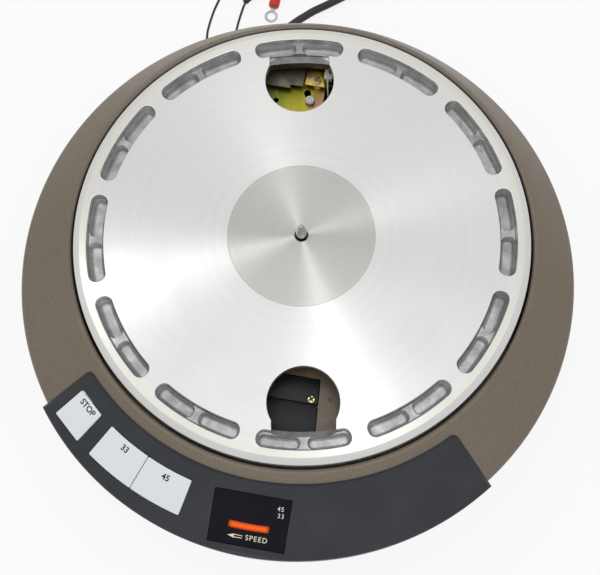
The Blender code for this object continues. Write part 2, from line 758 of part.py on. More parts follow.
def panel_section(degrees):
    """The control panel's outline at one angle."""
    outer = circle_distance(degrees, PANEL_RADIUS)
    rim = circle_distance(degrees, RIM_RADIUS) + GAP
    inner = PANEL_INNER_RADIUS
    outline = (
        (inner, slope_at(inner, degrees) + GAP),
        (inner, slope_at(inner, degrees) + 2 * GAP),
        (inner + PANEL_BEVEL, slope_at(inner + PANEL_BEVEL, degrees) + PANEL_RISE),
        (outer - PANEL_EDGE, slope_at(outer - PANEL_EDGE, degrees) + PANEL_RISE),
        (outer, slope_at(outer, degrees) + PANEL_RISE - PANEL_EDGE),
        (outer, APRON_HEIGHT), (rim, APRON_HEIGHT), (rim, slope_at(rim, degrees) + GAP))
    return [(*polar(radius, degrees), height) for radius, height in outline]


def window_section(across, margin, low, high):
    """The strobe window's outline at one place across it."""
    near, far = -WINDOW_INNER - margin, -WINDOW_OUTER + margin
    return [
        (across, near, slope_height(across, near) + low), (across, far, slope_height(across, far) + low),
        (across, far, slope_height(across, far) + high), (across, near, slope_height(across, near) + high)]


def control_panel():
    """The panel: a sloped plate with an apron, three openings and pegs for its screws."""
    shape = bmesh.new()
    angles = spread(-90 - PANEL_HALF_ANGLE, -90 + PANEL_HALF_ANGLE, PANEL_STEPS)
    loft(shape, [panel_section(degrees) for degrees in angles])
    piece = solid("control_panel", shape)
    pegs = bmesh.new()
    for degrees in PEG_ANGLES:
        top = slope_at(PEG_RING_RADIUS, degrees) + PANEL_RISE / 2
        disc(pegs, PEG_RADIUS, PEG_BASE, top, FASTENER_SIDES, polar(PEG_RING_RADIUS, degrees))
    join(piece, pegs)
    room = bmesh.new()
    radii = (BUTTON_INNER_RADIUS - BUTTON_GAP, BUTTON_OUTER_RADIUS + BUTTON_GAP)
    margin = math.degrees(BUTTON_GAP / BUTTON_MIDDLE)
    for first, last in (STOP_ANGLES, (ANGLES_33[0], ANGLES_45[1])):
        sector(room, radii, (first - margin, last + margin), above_slope(-OVERRUN),
               above_slope(PANEL_RISE + OVERRUN), BUTTON_STEPS * 2)
    across = spread(-WINDOW_HALF_WIDTH, WINDOW_HALF_WIDTH, WINDOW_STEPS)
    loft(room, [window_section(x, 0, -OVERRUN, PANEL_RISE + OVERRUN) for x in across])
    for degrees in PEG_ANGLES:
        disc(room, PANEL_SCREW_RADIUS + GAP, PEG_BASE - OVERRUN,
             SWITCH_PLATE_BASE + PANEL_SCREW_LENGTH + SCREW_ROOM,
             FASTENER_SIDES, polar(PEG_RING_RADIUS, degrees))
    cut(piece, room)
    return plastic(piece, (0.045, 0.05, 0.06))


def button(name, angles, first_gap, last_gap):
    """A button cap with its stem; the gaps are what it leaves free at its two sides."""
    middle = (angles[0] + angles[1]) / 2
    shape = bmesh.new()
    first = angles[0] + math.degrees(first_gap / BUTTON_MIDDLE)
    last = angles[1] - math.degrees(last_gap / BUTTON_MIDDLE)
    sector(shape, (BUTTON_INNER_RADIUS, BUTTON_OUTER_RADIUS), (first, last), level(BUTTON_BASE),
           above_slope(PANEL_RISE + BUTTON_PROUD), BUTTON_STEPS)
    piece = solid(name, shape)
    stem = bmesh.new()
    foot = SWITCH_TOP + BUTTON_TRAVEL + STEM_CLEARANCE
    place = polar(BUTTON_MIDDLE, middle)
    disc(stem, STEM_RADIUS, foot, BUTTON_BASE + BUTTON_TRAVEL, FASTENER_SIDES, place)
    join(piece, stem)
    plastic(piece, (0.72, 0.76, 0.78))
    for shown in [piece] + [change.object for change in piece.modifiers]:
        move_origin(shown, (*place, BUTTON_BASE))
    return piece


def switch_block():
    """The block with the three buttons' switches, curved round one of the panel's posts."""
    half = SWITCH_WIDTH / 2
    shape = bmesh.new()
    sector(shape, (BUTTON_MIDDLE - half, BUTTON_MIDDLE + half), (STOP_ANGLES[0], ANGLES_45[1]),
           level(SWITCH_BASE), level(SWITCH_TOP), PANEL_STEPS // 4)
    piece = solid("switch_block", shape)
    hole = bmesh.new()
    disc(hole, PEG_POST_RADIUS + GAP, SWITCH_BASE - OVERRUN, SWITCH_TOP + OVERRUN, SHAFT_SIDES // 2,
         polar(PEG_RING_RADIUS, PEG_ANGLES[0]))
    cut(piece, hole)
    return plastic(piece, (0.05, 0.05, 0.05))


def switch_plate():
    """The plate that closes the panel's hollow from below and carries the switches and the lamp."""
    shape = bmesh.new()
    end = PANEL_HALF_ANGLE - SWITCH_PLATE_END_ANGLE
    sections = []
    for degrees in spread(-90 - end, -90 + end, PANEL_STEPS):
        outer = circle_distance(degrees, RIM_RADIUS) - SKIRT_WALL - GAP
        inner = polar(SWITCH_PLATE_INNER_RADIUS, degrees)
        rim = polar(outer, degrees)
        sections.append([
            (*inner, SWITCH_PLATE_BASE), (*rim, SWITCH_PLATE_BASE),
            (*rim, SWITCH_PLATE_TOP), (*inner, SWITCH_PLATE_TOP)])
    loft(shape, sections)
    piece = solid("switch_plate", shape)
    stand = bmesh.new()
    half, deep = LAMP_STAND_LENGTH / 2, LAMP_STAND_WIDTH / 2
    block(stand, (-half, half), (-SLOT_RADIUS - deep, -SLOT_RADIUS + deep),
          (SWITCH_PLATE_BASE + SWITCH_PLATE_THICKNESS / 2, SWITCH_BASE + LAMP_STAND_HEIGHT))
    join(piece, stand)
    holes = bmesh.new()
    for degrees in PEG_ANGLES:
        disc(holes, PANEL_SCREW_RADIUS + GAP, SWITCH_PLATE_BASE - OVERRUN, SWITCH_PLATE_TOP + OVERRUN,
             FASTENER_SIDES, polar(PEG_RING_RADIUS, degrees))
    cut(piece, holes)
    return bare_metal(piece, ZINC)


def panel_screw(number):
    """One of the screws that clamp the switch plate and the panel to the casting."""
    shape = screw_shape(
        bmesh.new(), polar(PEG_RING_RADIUS, PEG_ANGLES[number]), SWITCH_PLATE_BASE - GAP,
        (PANEL_SCREW_HEAD_RADIUS, M3_HEAD_HEIGHT), (PANEL_SCREW_RADIUS, PANEL_SCREW_LENGTH), True)
    return bare_metal(solid(f"panel_screw_{number + 1}", shape), ZINC)


def strobe_window():
    """The dark pane, recessed in the panel, with its curved slot."""
    shape = bmesh.new()
    half = WINDOW_HALF_WIDTH - GAP
    top = PANEL_RISE - WINDOW_RECESS
    loft(shape, [window_section(x, GAP, top - WINDOW_THICKNESS, top)
                 for x in spread(-half, half, WINDOW_STEPS)])
    piece = solid("strobe_window", shape)
    slot = bmesh.new()
    half_slot = SLOT_WIDTH / 2
    sector(slot, (SLOT_RADIUS - half_slot, SLOT_RADIUS + half_slot),
           (-90 - SLOT_HALF_ANGLE, -90 + SLOT_HALF_ANGLE), above_slope(-OVERRUN),
           above_slope(OVERRUN), BUTTON_STEPS)
    cut(piece, slot)
    return plastic(piece, (0.006, 0.006, 0.01))


def strobe_diffuser():
    """The orange light guide in the slot, with a lip under the pane."""
    shape = bmesh.new()
    neck = SLOT_WIDTH / 2 - GAP
    lip = neck + DIFFUSER_LIP
    under = PANEL_RISE - WINDOW_RECESS - WINDOW_THICKNESS - GAP
    top = PANEL_RISE - WINDOW_RECESS - GAP
    end = SLOT_HALF_ANGLE - math.degrees(GAP / SLOT_RADIUS)
    sections = []
    for degrees in spread(-90 - end, -90 + end, BUTTON_STEPS):
        outline = (
            (-lip, under - DIFFUSER_THICKNESS), (lip, under - DIFFUSER_THICKNESS), (lip, under),
            (neck, under), (neck, top), (-neck, top), (-neck, under), (-lip, under))
        sections.append([
            (*polar(SLOT_RADIUS + step, degrees), slope_at(SLOT_RADIUS + step, degrees) + rise)
            for step, rise in outline])
    loft(shape, sections)
    return plastic(solid("strobe_diffuser", shape), (0.95, 0.15, 0.01))


def neon_lamp():
    """The strobe lamp, lying on its stand under the slot."""
    shape = bmesh.new()
    disc(shape, LAMP_RADIUS, -LAMP_LENGTH / 2, LAMP_LENGTH / 2, FASTENER_SIDES)
    centre = (0, -SLOT_RADIUS, SWITCH_BASE + LAMP_STAND_HEIGHT + GAP + LAMP_RADIUS)
    shape.transform(Matrix.Translation(centre) @ Matrix.Rotation(math.radians(90), 4, "Y"))
    return plastic(solid("neon_lamp", shape), (0.9, 0.5, 0.3))


def arc_slot_outline(radii, half_angle, middle, corner):
    """A curved slot's outline: two arcs joined by rounded ends of a corner radius."""
    inner, outer = radii
    points = []
    corners = (
        (outer - corner, 1, 0), (inner + corner, 1, 90), (inner + corner, -1, 180), (outer - corner, -1, 270))
    for radius, side, start in corners:
        inset = math.degrees(corner / radius)
        at = middle - side * (half_angle - inset)
        centre = polar(radius, at)
        first = at - start
        for degrees in spread(first, first - 90, END_STEPS // 2):
            step = polar(corner, degrees)
            points.append((centre[0] + step[0], centre[1] + step[1]))
        if side == 1 and radius < (inner + outer) / 2:
            points += [polar(inner, a) for a in spread(at, middle + half_angle - inset, END_STEPS)[1:-1]]
    outer_inset = math.degrees(corner / (outer - corner))
    turn = half_angle - outer_inset
    points += [polar(outer, a) for a in spread(middle + turn, middle - turn, END_STEPS)[1:-1]]
    return points


def finger_hole_outline(middle):
    """A finger hole with its neck towards the pocket, at an angle round the spindle."""
    half_neck = FINGER_NECK_WIDTH / 2
    start = math.degrees(math.asin(half_neck / FINGER_HOLE_RADIUS))
    local = []
    for degrees in spread(start, 360 - start, FINGER_STEPS):
        step = polar(FINGER_HOLE_RADIUS, degrees)
        local.append((FINGER_HOLE_CENTRE + step[0], step[1]))
    local += [polar(FINGER_NECK_RADIUS, a) for a in spread(-FINGER_NECK_TURN, FINGER_NECK_TURN, END_STEPS)]
    turn = Matrix.Rotation(math.radians(middle), 2)
    return [tuple(turn @ Vector(point)) for point in local]


def platter():
    """The platter: plate, rim, boss, label seat, pockets and two finger holes."""
    shape = bmesh.new()
    seat = PLATTER_TOP - LABEL_RECESS
    bore = HUB_SPIGOT_RADIUS + RUNNING_FIT
    bore_top = HUB_TOP + HUB_SPIGOT_HEIGHT + GAP
    turned(shape, [
        (bore, BOSS_BASE), (PLATTER_BOSS_RADIUS, BOSS_BASE),
        (PLATTER_BOSS_RADIUS, PLATTER_UNDERSIDE), (PLATTER_RIM_INNER, PLATTER_UNDERSIDE),
        (PLATTER_RIM_INNER, PLATTER_RIM_BASE), (PLATTER_RADIUS - RIM_CHAMFER, PLATTER_RIM_BASE),
        (PLATTER_RADIUS, PLATTER_RIM_BASE + RIM_CHAMFER), (PLATTER_RADIUS, PLATTER_TOP - CHAMFER_DROP),
        (PLATTER_RADIUS - CHAMFER_WIDTH, PLATTER_TOP), (LABEL_RADIUS, PLATTER_TOP),
        (LABEL_RADIUS, seat), (CENTRE_HOLE_RADIUS, seat), (CENTRE_HOLE_RADIUS, bore_top),
        (bore, bore_top)], RING_SIDES)
    piece = solid("platter", shape)
    above = PLATTER_TOP + OVERRUN
    pockets, cells = bmesh.new(), bmesh.new()
    width = POCKET_OUTER_RADIUS - POCKET_INNER_RADIUS
    for step in range(POCKET_COUNT):
        middle = POCKET_PHASE + 360 * step / POCKET_COUNT
        by_finger = abs(math.sin(math.radians(middle - FINGER_PHASE))) < MERGE
        prism(pockets, arc_slot_outline(
            (POCKET_INNER_RADIUS, POCKET_OUTER_RADIUS), POCKET_HALF_ANGLE, middle, width / 2),
            PLATTER_TOP - POCKET_DEPTH, above)
        inner = POCKET_INNER_RADIUS + (CELL_LEDGE if by_finger else CELL_INSET)
        half = (POCKET_HALF_ANGLE - math.degrees(CELL_INSET / inner) - CELL_RIB_HALF_ANGLE) / 2
        for side in (-1, 1):
            prism(cells, arc_slot_outline(
                (inner, POCKET_OUTER_RADIUS - CELL_INSET), half,
                middle + side * (half + CELL_RIB_HALF_ANGLE), CELL_CORNER),
                PLATTER_TOP - CELL_DEPTH, above)
    lands, fingers = bmesh.new(), bmesh.new()
    for middle in (FINGER_PHASE, FINGER_PHASE + 180):
        prism(lands, arc_slot_outline(FINGER_LAND_RADII, FINGER_NECK_TURN, middle, CELL_CORNER),
              PLATTER_TOP - FINGER_LAND_DEPTH, above)
        prism(fingers, finger_hole_outline(middle), PLATTER_RIM_BASE - OVERRUN, above)
    for tools in (pockets, cells, lands, fingers):
        cut(piece, tools)
    return bare_metal(piece, (0.82, 0.82, 0.80))


def pulse_ring():
    """The magnetised ring under the platter's rim that the head reads."""
    inner = PLATTER_RIM_INNER + PULSE_RING_INSET
    low = PLATTER_RIM_BASE - GAP - PULSE_RING_HEIGHT
    high = PLATTER_RIM_BASE - GAP
    shape = bmesh.new()
    turned(shape, [
        (inner, low), (inner + PULSE_RING_WIDTH, low), (inner + PULSE_RING_WIDTH, high),
        (inner, high)], DRUM_SIDES)
    return plastic(solid("pulse_ring", shape), (0.03, 0.03, 0.03))


def spindle_shaft():
    """The shaft: journal below, record spindle with a pointed top above."""
    shape = bmesh.new()
    shoulder = HUB_TOP + HUB_SPIGOT_HEIGHT
    turned(shape, [
        (0, JOURNAL_FOOT), (JOURNAL_RADIUS, JOURNAL_FOOT), (JOURNAL_RADIUS, shoulder),
        (SPINDLE_RADIUS, shoulder), (SPINDLE_RADIUS, SPINDLE_HEIGHT - SPINDLE_CONE),
        (SPINDLE_TIP_RADIUS, SPINDLE_HEIGHT), (0, SPINDLE_HEIGHT)], SHAFT_SIDES)
    return bare_metal(solid("spindle_shaft", shape), (0.75, 0.75, 0.75))


def rotor_hub():
    """The hub that the platter rests on, fixed on the shaft."""
    bore = JOURNAL_RADIUS + GAP
    under = HUB_TOP - HUB_FLANGE_THICKNESS
    foot = BELL_TOP - BELL_WEB
    shape = bmesh.new()
    turned(shape, [
        (bore, foot), (HUB_BOSS_RADIUS, foot), (HUB_BOSS_RADIUS, under), (HUB_FLANGE_RADIUS, under),
        (HUB_FLANGE_RADIUS, HUB_TOP), (HUB_SPIGOT_RADIUS, HUB_TOP),
        (HUB_SPIGOT_RADIUS, HUB_TOP + HUB_SPIGOT_HEIGHT), (bore, HUB_TOP + HUB_SPIGOT_HEIGHT)],
        DRUM_SIDES)
    return bare_metal(solid("rotor_hub", shape), (0.65, 0.65, 0.66))


def rotor_bell():
    """The steel bell that turns outside the stator."""
    inner = BELL_RADIUS - BELL_WALL
    low, web = BELL_TOP - BELL_HEIGHT, BELL_TOP - BELL_WEB
    bore = HUB_BOSS_RADIUS + GAP
    shape = bmesh.new()
    turned(shape, [
        (bore, web), (inner, web), (inner, low), (BELL_RADIUS, low), (BELL_RADIUS, BELL_TOP),
        (bore, BELL_TOP)], DRUM_SIDES)
    return bare_metal(solid("rotor_bell", shape), (0.5, 0.5, 0.52))


def motor_cover():
    """The motor's steel cup, hung from the chassis plate by its flange."""
    inner = COVER_RADIUS - COVER_WALL
    floor = COVER_BASE + COVER_WALL
    bore = THRUST_CAP_RADIUS + GAP
    reach = COVER_RADIUS + COVER_FLANGE_WIDTH
    shape = bmesh.new()
    turned(shape, [
        (bore, COVER_BASE), (COVER_RADIUS, COVER_BASE), (COVER_RADIUS, COVER_FLANGE_BASE),
        (reach, COVER_FLANGE_BASE), (reach, HUNG_TOP), (inner, HUNG_TOP), (inner, floor),
        (bore, floor)], DRUM_SIDES)
    piece = solid("motor_cover", shape)
    holes = bmesh.new()
    for place in motor_screw_places():
        disc(holes, M4_RADIUS + GAP, COVER_FLANGE_BASE - OVERRUN, HUNG_TOP + OVERRUN,
             FASTENER_SIDES, place)
    cut(piece, holes)
    return painted(piece, (0.08, 0.08, 0.085))


def bearing_housing():
    """The housing that stands in the motor cover, holds the bushings and carries the stator."""
    shape = bmesh.new()
    top = HOUSING_BASE + HOUSING_HEIGHT
    turned(shape, [
        (HOUSING_BORE, HOUSING_BASE), (HOUSING_FOOT_RADIUS, HOUSING_BASE),
        (HOUSING_FOOT_RADIUS, HOUSING_BASE + HOUSING_FOOT_HEIGHT),
        (HOUSING_SHOULDER_RADIUS, HOUSING_BASE + HOUSING_FOOT_HEIGHT),
        (HOUSING_SHOULDER_RADIUS, CORE_SEAT), (HOUSING_RADIUS, CORE_SEAT),
        (HOUSING_RADIUS, top), (HOUSING_BORE, top)], SHAFT_SIDES)
    return bare_metal(solid("bearing_housing", shape), ZINC)


def bearing_bushing():
    """The bronze bushing in the housing's bore."""
    inner, outer = JOURNAL_RADIUS + RUNNING_FIT, HOUSING_BORE - GAP
    low, high = JOURNAL_FOOT + GAP, HOUSING_BASE + HOUSING_HEIGHT - BUSHING_INSET
    shape = bmesh.new()
    turned(shape, [(inner, low), (outer, low), (outer, high), (inner, high)], SHAFT_SIDES)
    return bare_metal(solid("bearing_bushing", shape), (0.7, 0.45, 0.2))


def thrust_ball():
    """The ball that the shaft turns on."""
    centre = JOURNAL_FOOT - GAP - BALL_RADIUS
    outline = []
    for degrees in spread(-90, 90, END_STEPS * 2):
        step = polar(BALL_RADIUS, degrees)
        outline.append((step[0], centre + step[1]))
    outline[0] = (0, centre - BALL_RADIUS)
    outline[-1] = (0, centre + BALL_RADIUS)
    shape = bmesh.new()
    turned(shape, outline, FASTENER_SIDES)
    return bare_metal(solid("thrust_ball", shape), (0.8, 0.8, 0.8))


def thrust_cap():
    """The cap in the housing's foot that the ball stands on."""
    pad = JOURNAL_FOOT - 2 * (GAP + BALL_RADIUS)
    plug = HOUSING_BORE - GAP
    seat = HOUSING_BASE - GAP
    shape = bmesh.new()
    turned(shape, [
        (0, seat - THRUST_CAP_HEIGHT), (THRUST_CAP_RADIUS, seat - THRUST_CAP_HEIGHT),
        (THRUST_CAP_RADIUS, seat), (plug, seat), (plug, pad), (0, pad)], SHAFT_SIDES)
    return bare_metal(solid("thrust_cap", shape), (0.65, 0.5, 0.2))


def stator_core():
    """The laminated core with its teeth, on the housing's shoulder."""
    yoke = HOUSING_RADIUS + GAP + CORE_YOKE
    tip = STATOR_RADIUS
    turn = 360 / TOOTH_COUNT
    root_half = math.degrees(math.asin(TOOTH_WIDTH / 2 / yoke))
    neck = tip - TOOTH_TIP
    neck_half = math.degrees(math.asin(TOOTH_WIDTH / 2 / neck))
    tip_half = turn / 2 * TOOTH_TIP_SHARE
    outline = []
    for step in range(TOOTH_COUNT):
        middle = turn * step
        outline += [
            polar(yoke, middle - root_half), polar(neck, middle - neck_half),
            polar(neck, middle - tip_half), polar(tip, middle - tip_half), polar(tip, middle),
            polar(tip, middle + tip_half), polar(neck, middle + tip_half),
            polar(neck, middle + neck_half), polar(yoke, middle + root_half)]
    low = CORE_SEAT + GAP
    shape = bmesh.new()
    prism(shape, outline, low, low + CORE_HEIGHT)
    piece = solid("stator_core", shape)
    bore = bmesh.new()
    disc(bore, HOUSING_RADIUS + GAP, low - OVERRUN, low + CORE_HEIGHT + OVERRUN, SHAFT_SIDES)
    cut(piece, bore)
    return bare_metal(piece, (0.35, 0.35, 0.36))


def stator_winding():
    """The winding: a ring of end turns over and under the core, and the wire in each slot."""
    yoke = HOUSING_RADIUS + GAP + CORE_YOKE
    near, far = yoke + GAP, STATOR_RADIUS - TOOTH_TIP - 2 * GAP
    low, high = CORE_SEAT + GAP, CORE_SEAT + GAP + CORE_HEIGHT
    shape = bmesh.new()
    ends = ((low - GAP - WINDING_THICKNESS, low - GAP), (high + GAP, high + GAP + WINDING_THICKNESS))
    for base, top in ends:
        turned(shape, [(near, base), (far, base), (far, top), (near, top)], SHAFT_SIDES)
    piece = solid("stator_winding", shape)
    bars = bmesh.new()
    turn = 360 / TOOTH_COUNT
    for step in range(TOOTH_COUNT):
        middle = turn * step + turn / 2
        sides = []
        for radius in (near + GAP, far - GAP):
            half = turn / 2 - math.degrees(math.asin((TOOTH_WIDTH / 2 + GAP) / radius))
            sides.append((radius, half))
        (inner, narrow), (outer, wide) = sides
        outline = [polar(inner, middle - narrow), polar(outer, middle - wide),
                   polar(outer, middle + wide), polar(inner, middle + narrow)]
        prism(bars, outline, low - WINDING_THICKNESS / 2, high + WINDING_THICKNESS / 2)
    join(piece, bars)
    return bare_metal(piece, (0.6, 0.27, 0.12))


def motor_screw(number):
    """One of the screws of the motor cover's flange."""
    shape = screw_shape(
        bmesh.new(), motor_screw_places()[number], COVER_FLANGE_BASE - GAP,
        (M4_HEAD_RADIUS, M4_HEAD_HEIGHT), (M4_RADIUS, M4_LENGTH), True)
    return bare_metal(solid(f"motor_screw_{number + 1}", shape), ZINC)


def transformer_screw(number):
    """One of the long bolts that hold the transformer's core under the plate."""
    low, high = transformer_heights()
    shape = screw_shape(
        bmesh.new(), transformer_screw_places()[number], low - GAP,
        (M4_HEAD_RADIUS, M4_HEAD_HEIGHT), (M4_RADIUS, high - low + M4_LENGTH), True)
    return bare_metal(solid(f"transformer_screw_{number + 1}", shape), ZINC)


def bottom_can():
    """The can that closes the unit below, with holes for the gland and the grommet."""
    inner = CAN_RADIUS - CAN_WALL
    reach = CAN_RADIUS + CAN_FLANGE_WIDTH
    shape = bmesh.new()
    turned(shape, [
        (0, 0), (CAN_RADIUS - CAN_EDGE, 0), (CAN_RADIUS, CAN_EDGE), (CAN_RADIUS, COVER_FLANGE_BASE),
        (reach, COVER_FLANGE_BASE), (reach, HUNG_TOP), (inner, HUNG_TOP),
        (inner, CAN_EDGE), (inner - CAN_EDGE + CAN_WALL, CAN_WALL), (0, CAN_WALL)], CUP_SIDES)
    piece = solid("bottom_can", shape)
    holes = bmesh.new()
    for place in can_screw_places():
        disc(holes, M3_RADIUS + GAP, COVER_FLANGE_BASE - OVERRUN, HUNG_TOP + OVERRUN,
             FASTENER_SIDES, place)
    cut(piece, holes)
    ports = bmesh.new()
    for radius, height, degrees in (
            (GLAND_NECK_RADIUS, GLAND_HEIGHT, GLAND_ANGLE),
            (GROMMET_NECK_RADIUS, GROMMET_HEIGHT, GROMMET_ANGLE)):
        old = set(ports.verts)
        disc(ports, radius + GAP, inner - 2 * OVERRUN, CAN_RADIUS + OVERRUN, SHAFT_SIDES // 2)
        new = [vert for vert in ports.verts if vert not in old]
        bmesh.ops.transform(ports, verts=new, matrix=sideways(degrees, height))
    cut(piece, ports)
    return painted(piece, (0.05, 0.05, 0.052))


def sideways(degrees, height):
    """Lays an upright shape along the line out of the spindle at an angle and a height."""
    return (Matrix.Translation((0, 0, height)) @ Matrix.Rotation(math.radians(degrees), 4, "Z")
            @ Matrix.Rotation(math.radians(90), 4, "Y"))


def inner_face(radius):
    """Where a flat flange of some radius lies against the inside of the can's faceted wall."""
    wall = (CAN_RADIUS - CAN_WALL) * math.cos(math.pi / CUP_SIDES)
    return math.sqrt(wall ** 2 - radius ** 2) - GAP


def can_screw(number):
    """One of the screws that hold the can and the plate to the casting."""
    shape = screw_shape(
        bmesh.new(), can_screw_places()[number], COVER_FLANGE_BASE - GAP,
        (CAN_SCREW_HEAD_RADIUS, M3_HEAD_HEIGHT), (M3_RADIUS, CAN_SCREW_LENGTH), True)
    return bare_metal(solid(f"can_screw_{number + 1}", shape), ZINC)


def servo_board():
    """The circuit board at the back of the motor, hung on three nylon supports."""
    low, high = BOARD_HEIGHT, BOARD_HEIGHT + BOARD_THICKNESS
    shape = bmesh.new()
    block(shape, (-BOARD_WIDTH / 2, BOARD_WIDTH / 2),
          (BOARD_CENTRE_Y - BOARD_DEPTH / 2, BOARD_CENTRE_Y + BOARD_DEPTH / 2), (low, high))
    piece = solid("servo_board", shape)
    holes = bmesh.new()
    for place in SUPPORT_PLACES:
        disc(holes, SUPPORT_NECK_RADIUS + GAP, low - OVERRUN, high + OVERRUN, FASTENER_SIDES, place)
    cut(piece, holes)
    return plastic(piece, (0.16, 0.10, 0.04))


def board_support(number):
    """A nylon pin that hangs from the plate by its head and carries the board by its foot."""
    board_low, board_high = BOARD_HEIGHT - GAP, BOARD_HEIGHT + BOARD_THICKNESS + GAP
    seat = PLATE_TOP + GAP
    shape = turned(bmesh.new(), [
        (0, board_low - SUPPORT_FOOT_HEIGHT), (SUPPORT_RADIUS, board_low - SUPPORT_FOOT_HEIGHT),
        (SUPPORT_RADIUS, board_low), (SUPPORT_NECK_RADIUS, board_low),
        (SUPPORT_NECK_RADIUS, board_high), (SUPPORT_RADIUS, board_high),
        (SUPPORT_RADIUS, HUNG_TOP), (SUPPORT_NECK_RADIUS, HUNG_TOP), (SUPPORT_NECK_RADIUS, seat),
        (SUPPORT_RADIUS, seat), (SUPPORT_RADIUS, seat + SUPPORT_HEAD_HEIGHT),
        (0, seat + SUPPORT_HEAD_HEIGHT)], FASTENER_SIDES, SUPPORT_PLACES[number])
    return plastic(solid(f"board_support_{number + 1}", shape), (0.85, 0.85, 0.82))


def board_capacitor():
    """The can-shaped capacitor that stands on the board."""
    low = BOARD_HEIGHT + BOARD_THICKNESS + GAP
    across, along = CAPACITOR_PLACE_SHARES
    place = (across * BOARD_WIDTH, BOARD_CENTRE_Y + along * BOARD_DEPTH)
    shape = disc(bmesh.new(), CAPACITOR_RADIUS, low, low + CAPACITOR_HEIGHT, SHAFT_SIDES, place)
    return plastic(solid("board_capacitor", shape), (0.02, 0.05, 0.16))


def transformer_heights():
    """Bottom and top of the transformer's core under the plate."""
    return HUNG_TOP - CORE_SIZE[2], HUNG_TOP


def transformer_core():
    """The transformer's laminated core with its two windows."""
    low, high = transformer_heights()
    half_x, half_y = CORE_SIZE[0] / 2, CORE_SIZE[1] / 2
    shape = bmesh.new()
    block(shape, (TRANSFORMER_CENTRE_X - half_x, TRANSFORMER_CENTRE_X + half_x),
          (-half_y, half_y), (low, high))
    piece = solid("transformer_core", shape)
    windows = bmesh.new()
    for side in (-1, 1):
        ends = sorted((side * LEG_WIDTH / 2, side * (LEG_WIDTH / 2 + CORE_WINDOW_WIDTH)))
        block(windows, (TRANSFORMER_CENTRE_X - half_x - OVERRUN, TRANSFORMER_CENTRE_X + half_x + OVERRUN),
              ends, (low + CORE_BAND, high - CORE_BAND))
    for place in transformer_screw_places():
        disc(windows, M4_RADIUS + GAP, low - OVERRUN, high + OVERRUN, FASTENER_SIDES, place)
    cut(piece, windows)
    return painted(piece, (0.12, 0.12, 0.13))


def transformer_winding():
    """The winding round the core's middle leg."""
    low, high = transformer_heights()
    low, high = low + CORE_BAND + GAP, high - CORE_BAND - GAP
    inner = (CORE_SIZE[0] / 2 + GAP, LEG_WIDTH / 2 + GAP)
    outer = (CORE_SIZE[0] / 2 + WINDING_OVERHANG, LEG_WIDTH / 2 + CORE_WINDOW_WIDTH - GAP)
    sections = []
    for side, way in ((-1, -1), (1, -1), (1, 1), (-1, 1)):
        sections.append([
            (TRANSFORMER_CENTRE_X + side * x, way * y, z)
            for (x, y), z in ((inner, low), (outer, low), (outer, high), (inner, high))])
    shape = loft(bmesh.new(), sections, closed=True)
    return plastic(solid("transformer_winding", shape), (0.75, 0.65, 0.15))


def head_bracket():
    """The zinc bracket on the casting's ledge that holds the pulse head."""
    (left, right), (front, back) = HEAD_BRACKET_X, HEAD_BRACKET_Y
    outline = [
        (left, front), (right, front), (right, HEAD_EAR_FRONT), (HEAD_EAR_END, HEAD_EAR_FRONT),
        (HEAD_EAR_END, back), (left, back)]
    shape = prism(bmesh.new(), outline, HEAD_BRACKET_BASE, HEAD_BRACKET_TOP)
    piece = solid("head_bracket", shape)
    boss = bmesh.new()
    middle = HEAD_BRACKET_BASE + HEAD_BRACKET_THICKNESS / 2
    disc(boss, HEAD_BOSS_RADIUS, PLATE_TOP + GAP, middle, FASTENER_SIDES, HEAD_SCREW_PLACE)
    join(piece, boss)
    hole = bmesh.new()
    disc(hole, HEAD_SCREW_RADIUS + GAP, PLATE_TOP + 2 * GAP + HEAD_BRACKET_THICKNESS,
         HEAD_BRACKET_TOP + OVERRUN, FASTENER_SIDES, HEAD_SCREW_PLACE)
    cut(piece, hole)
    return bare_metal(piece, (0.75, 0.62, 0.15))


def head_screw():
    """The hexagon-headed screw of the head's bracket."""
    shape = bmesh.new()
    seat = HEAD_BRACKET_TOP + GAP
    foot = PLATE_TOP + 3 * GAP + HEAD_BRACKET_THICKNESS
    top = seat + HEAD_SCREW_HEAD_HEIGHT
    turned(shape, [
        (0, foot), (HEAD_SCREW_RADIUS, foot), (HEAD_SCREW_RADIUS, seat), (HEAD_SCREW_HEAD_RADIUS, seat),
        (HEAD_SCREW_HEAD_RADIUS, top), (0, top)], HEXAGON_SIDES, HEAD_SCREW_PLACE)
    return bare_metal(solid("head_screw", shape), (0.7, 0.6, 0.3))


def pulse_head():
    """The white pulse head under the platter's rim."""
    shape = bmesh.new()
    low = HEAD_BRACKET_TOP + GAP
    block(shape, PULSE_HEAD_X, PULSE_HEAD_Y, (low, low + PULSE_HEAD_HEIGHT))
    return plastic(solid("pulse_head", shape), (0.85, 0.85, 0.82))


def head_lead():
    """The thin white lead from the pulse head through the plate's slot to the board."""
    middle = sum(PULSE_HEAD_X) / 2
    front = PULSE_HEAD_Y[0] - GAP
    height = HEAD_BRACKET_TOP + GAP + PULSE_HEAD_HEIGHT / 2
    foot = BOARD_HEIGHT + BOARD_THICKNESS + GAP
    out = Vector((middle, front - HEAD_LEAD_DIAMETER, height))
    through = Vector((*HEAD_LEAD_END, PLATE_TOP))
    bend = out.lerp(through, HEAD_LEAD_BEND_SHARE)
    bend.z = height - HEAD_LEAD_DIAMETER
    points = smooth_route(
        [(middle, front, height), out, bend, through, (*HEAD_LEAD_END, foot + HEAD_LEAD_DIAMETER),
         (*HEAD_LEAD_END, foot)], 2 * HEAD_LEAD_DIAMETER)
    return plastic(tube("head_lead", points, HEAD_LEAD_DIAMETER, 1), (0.8, 0.8, 0.78))


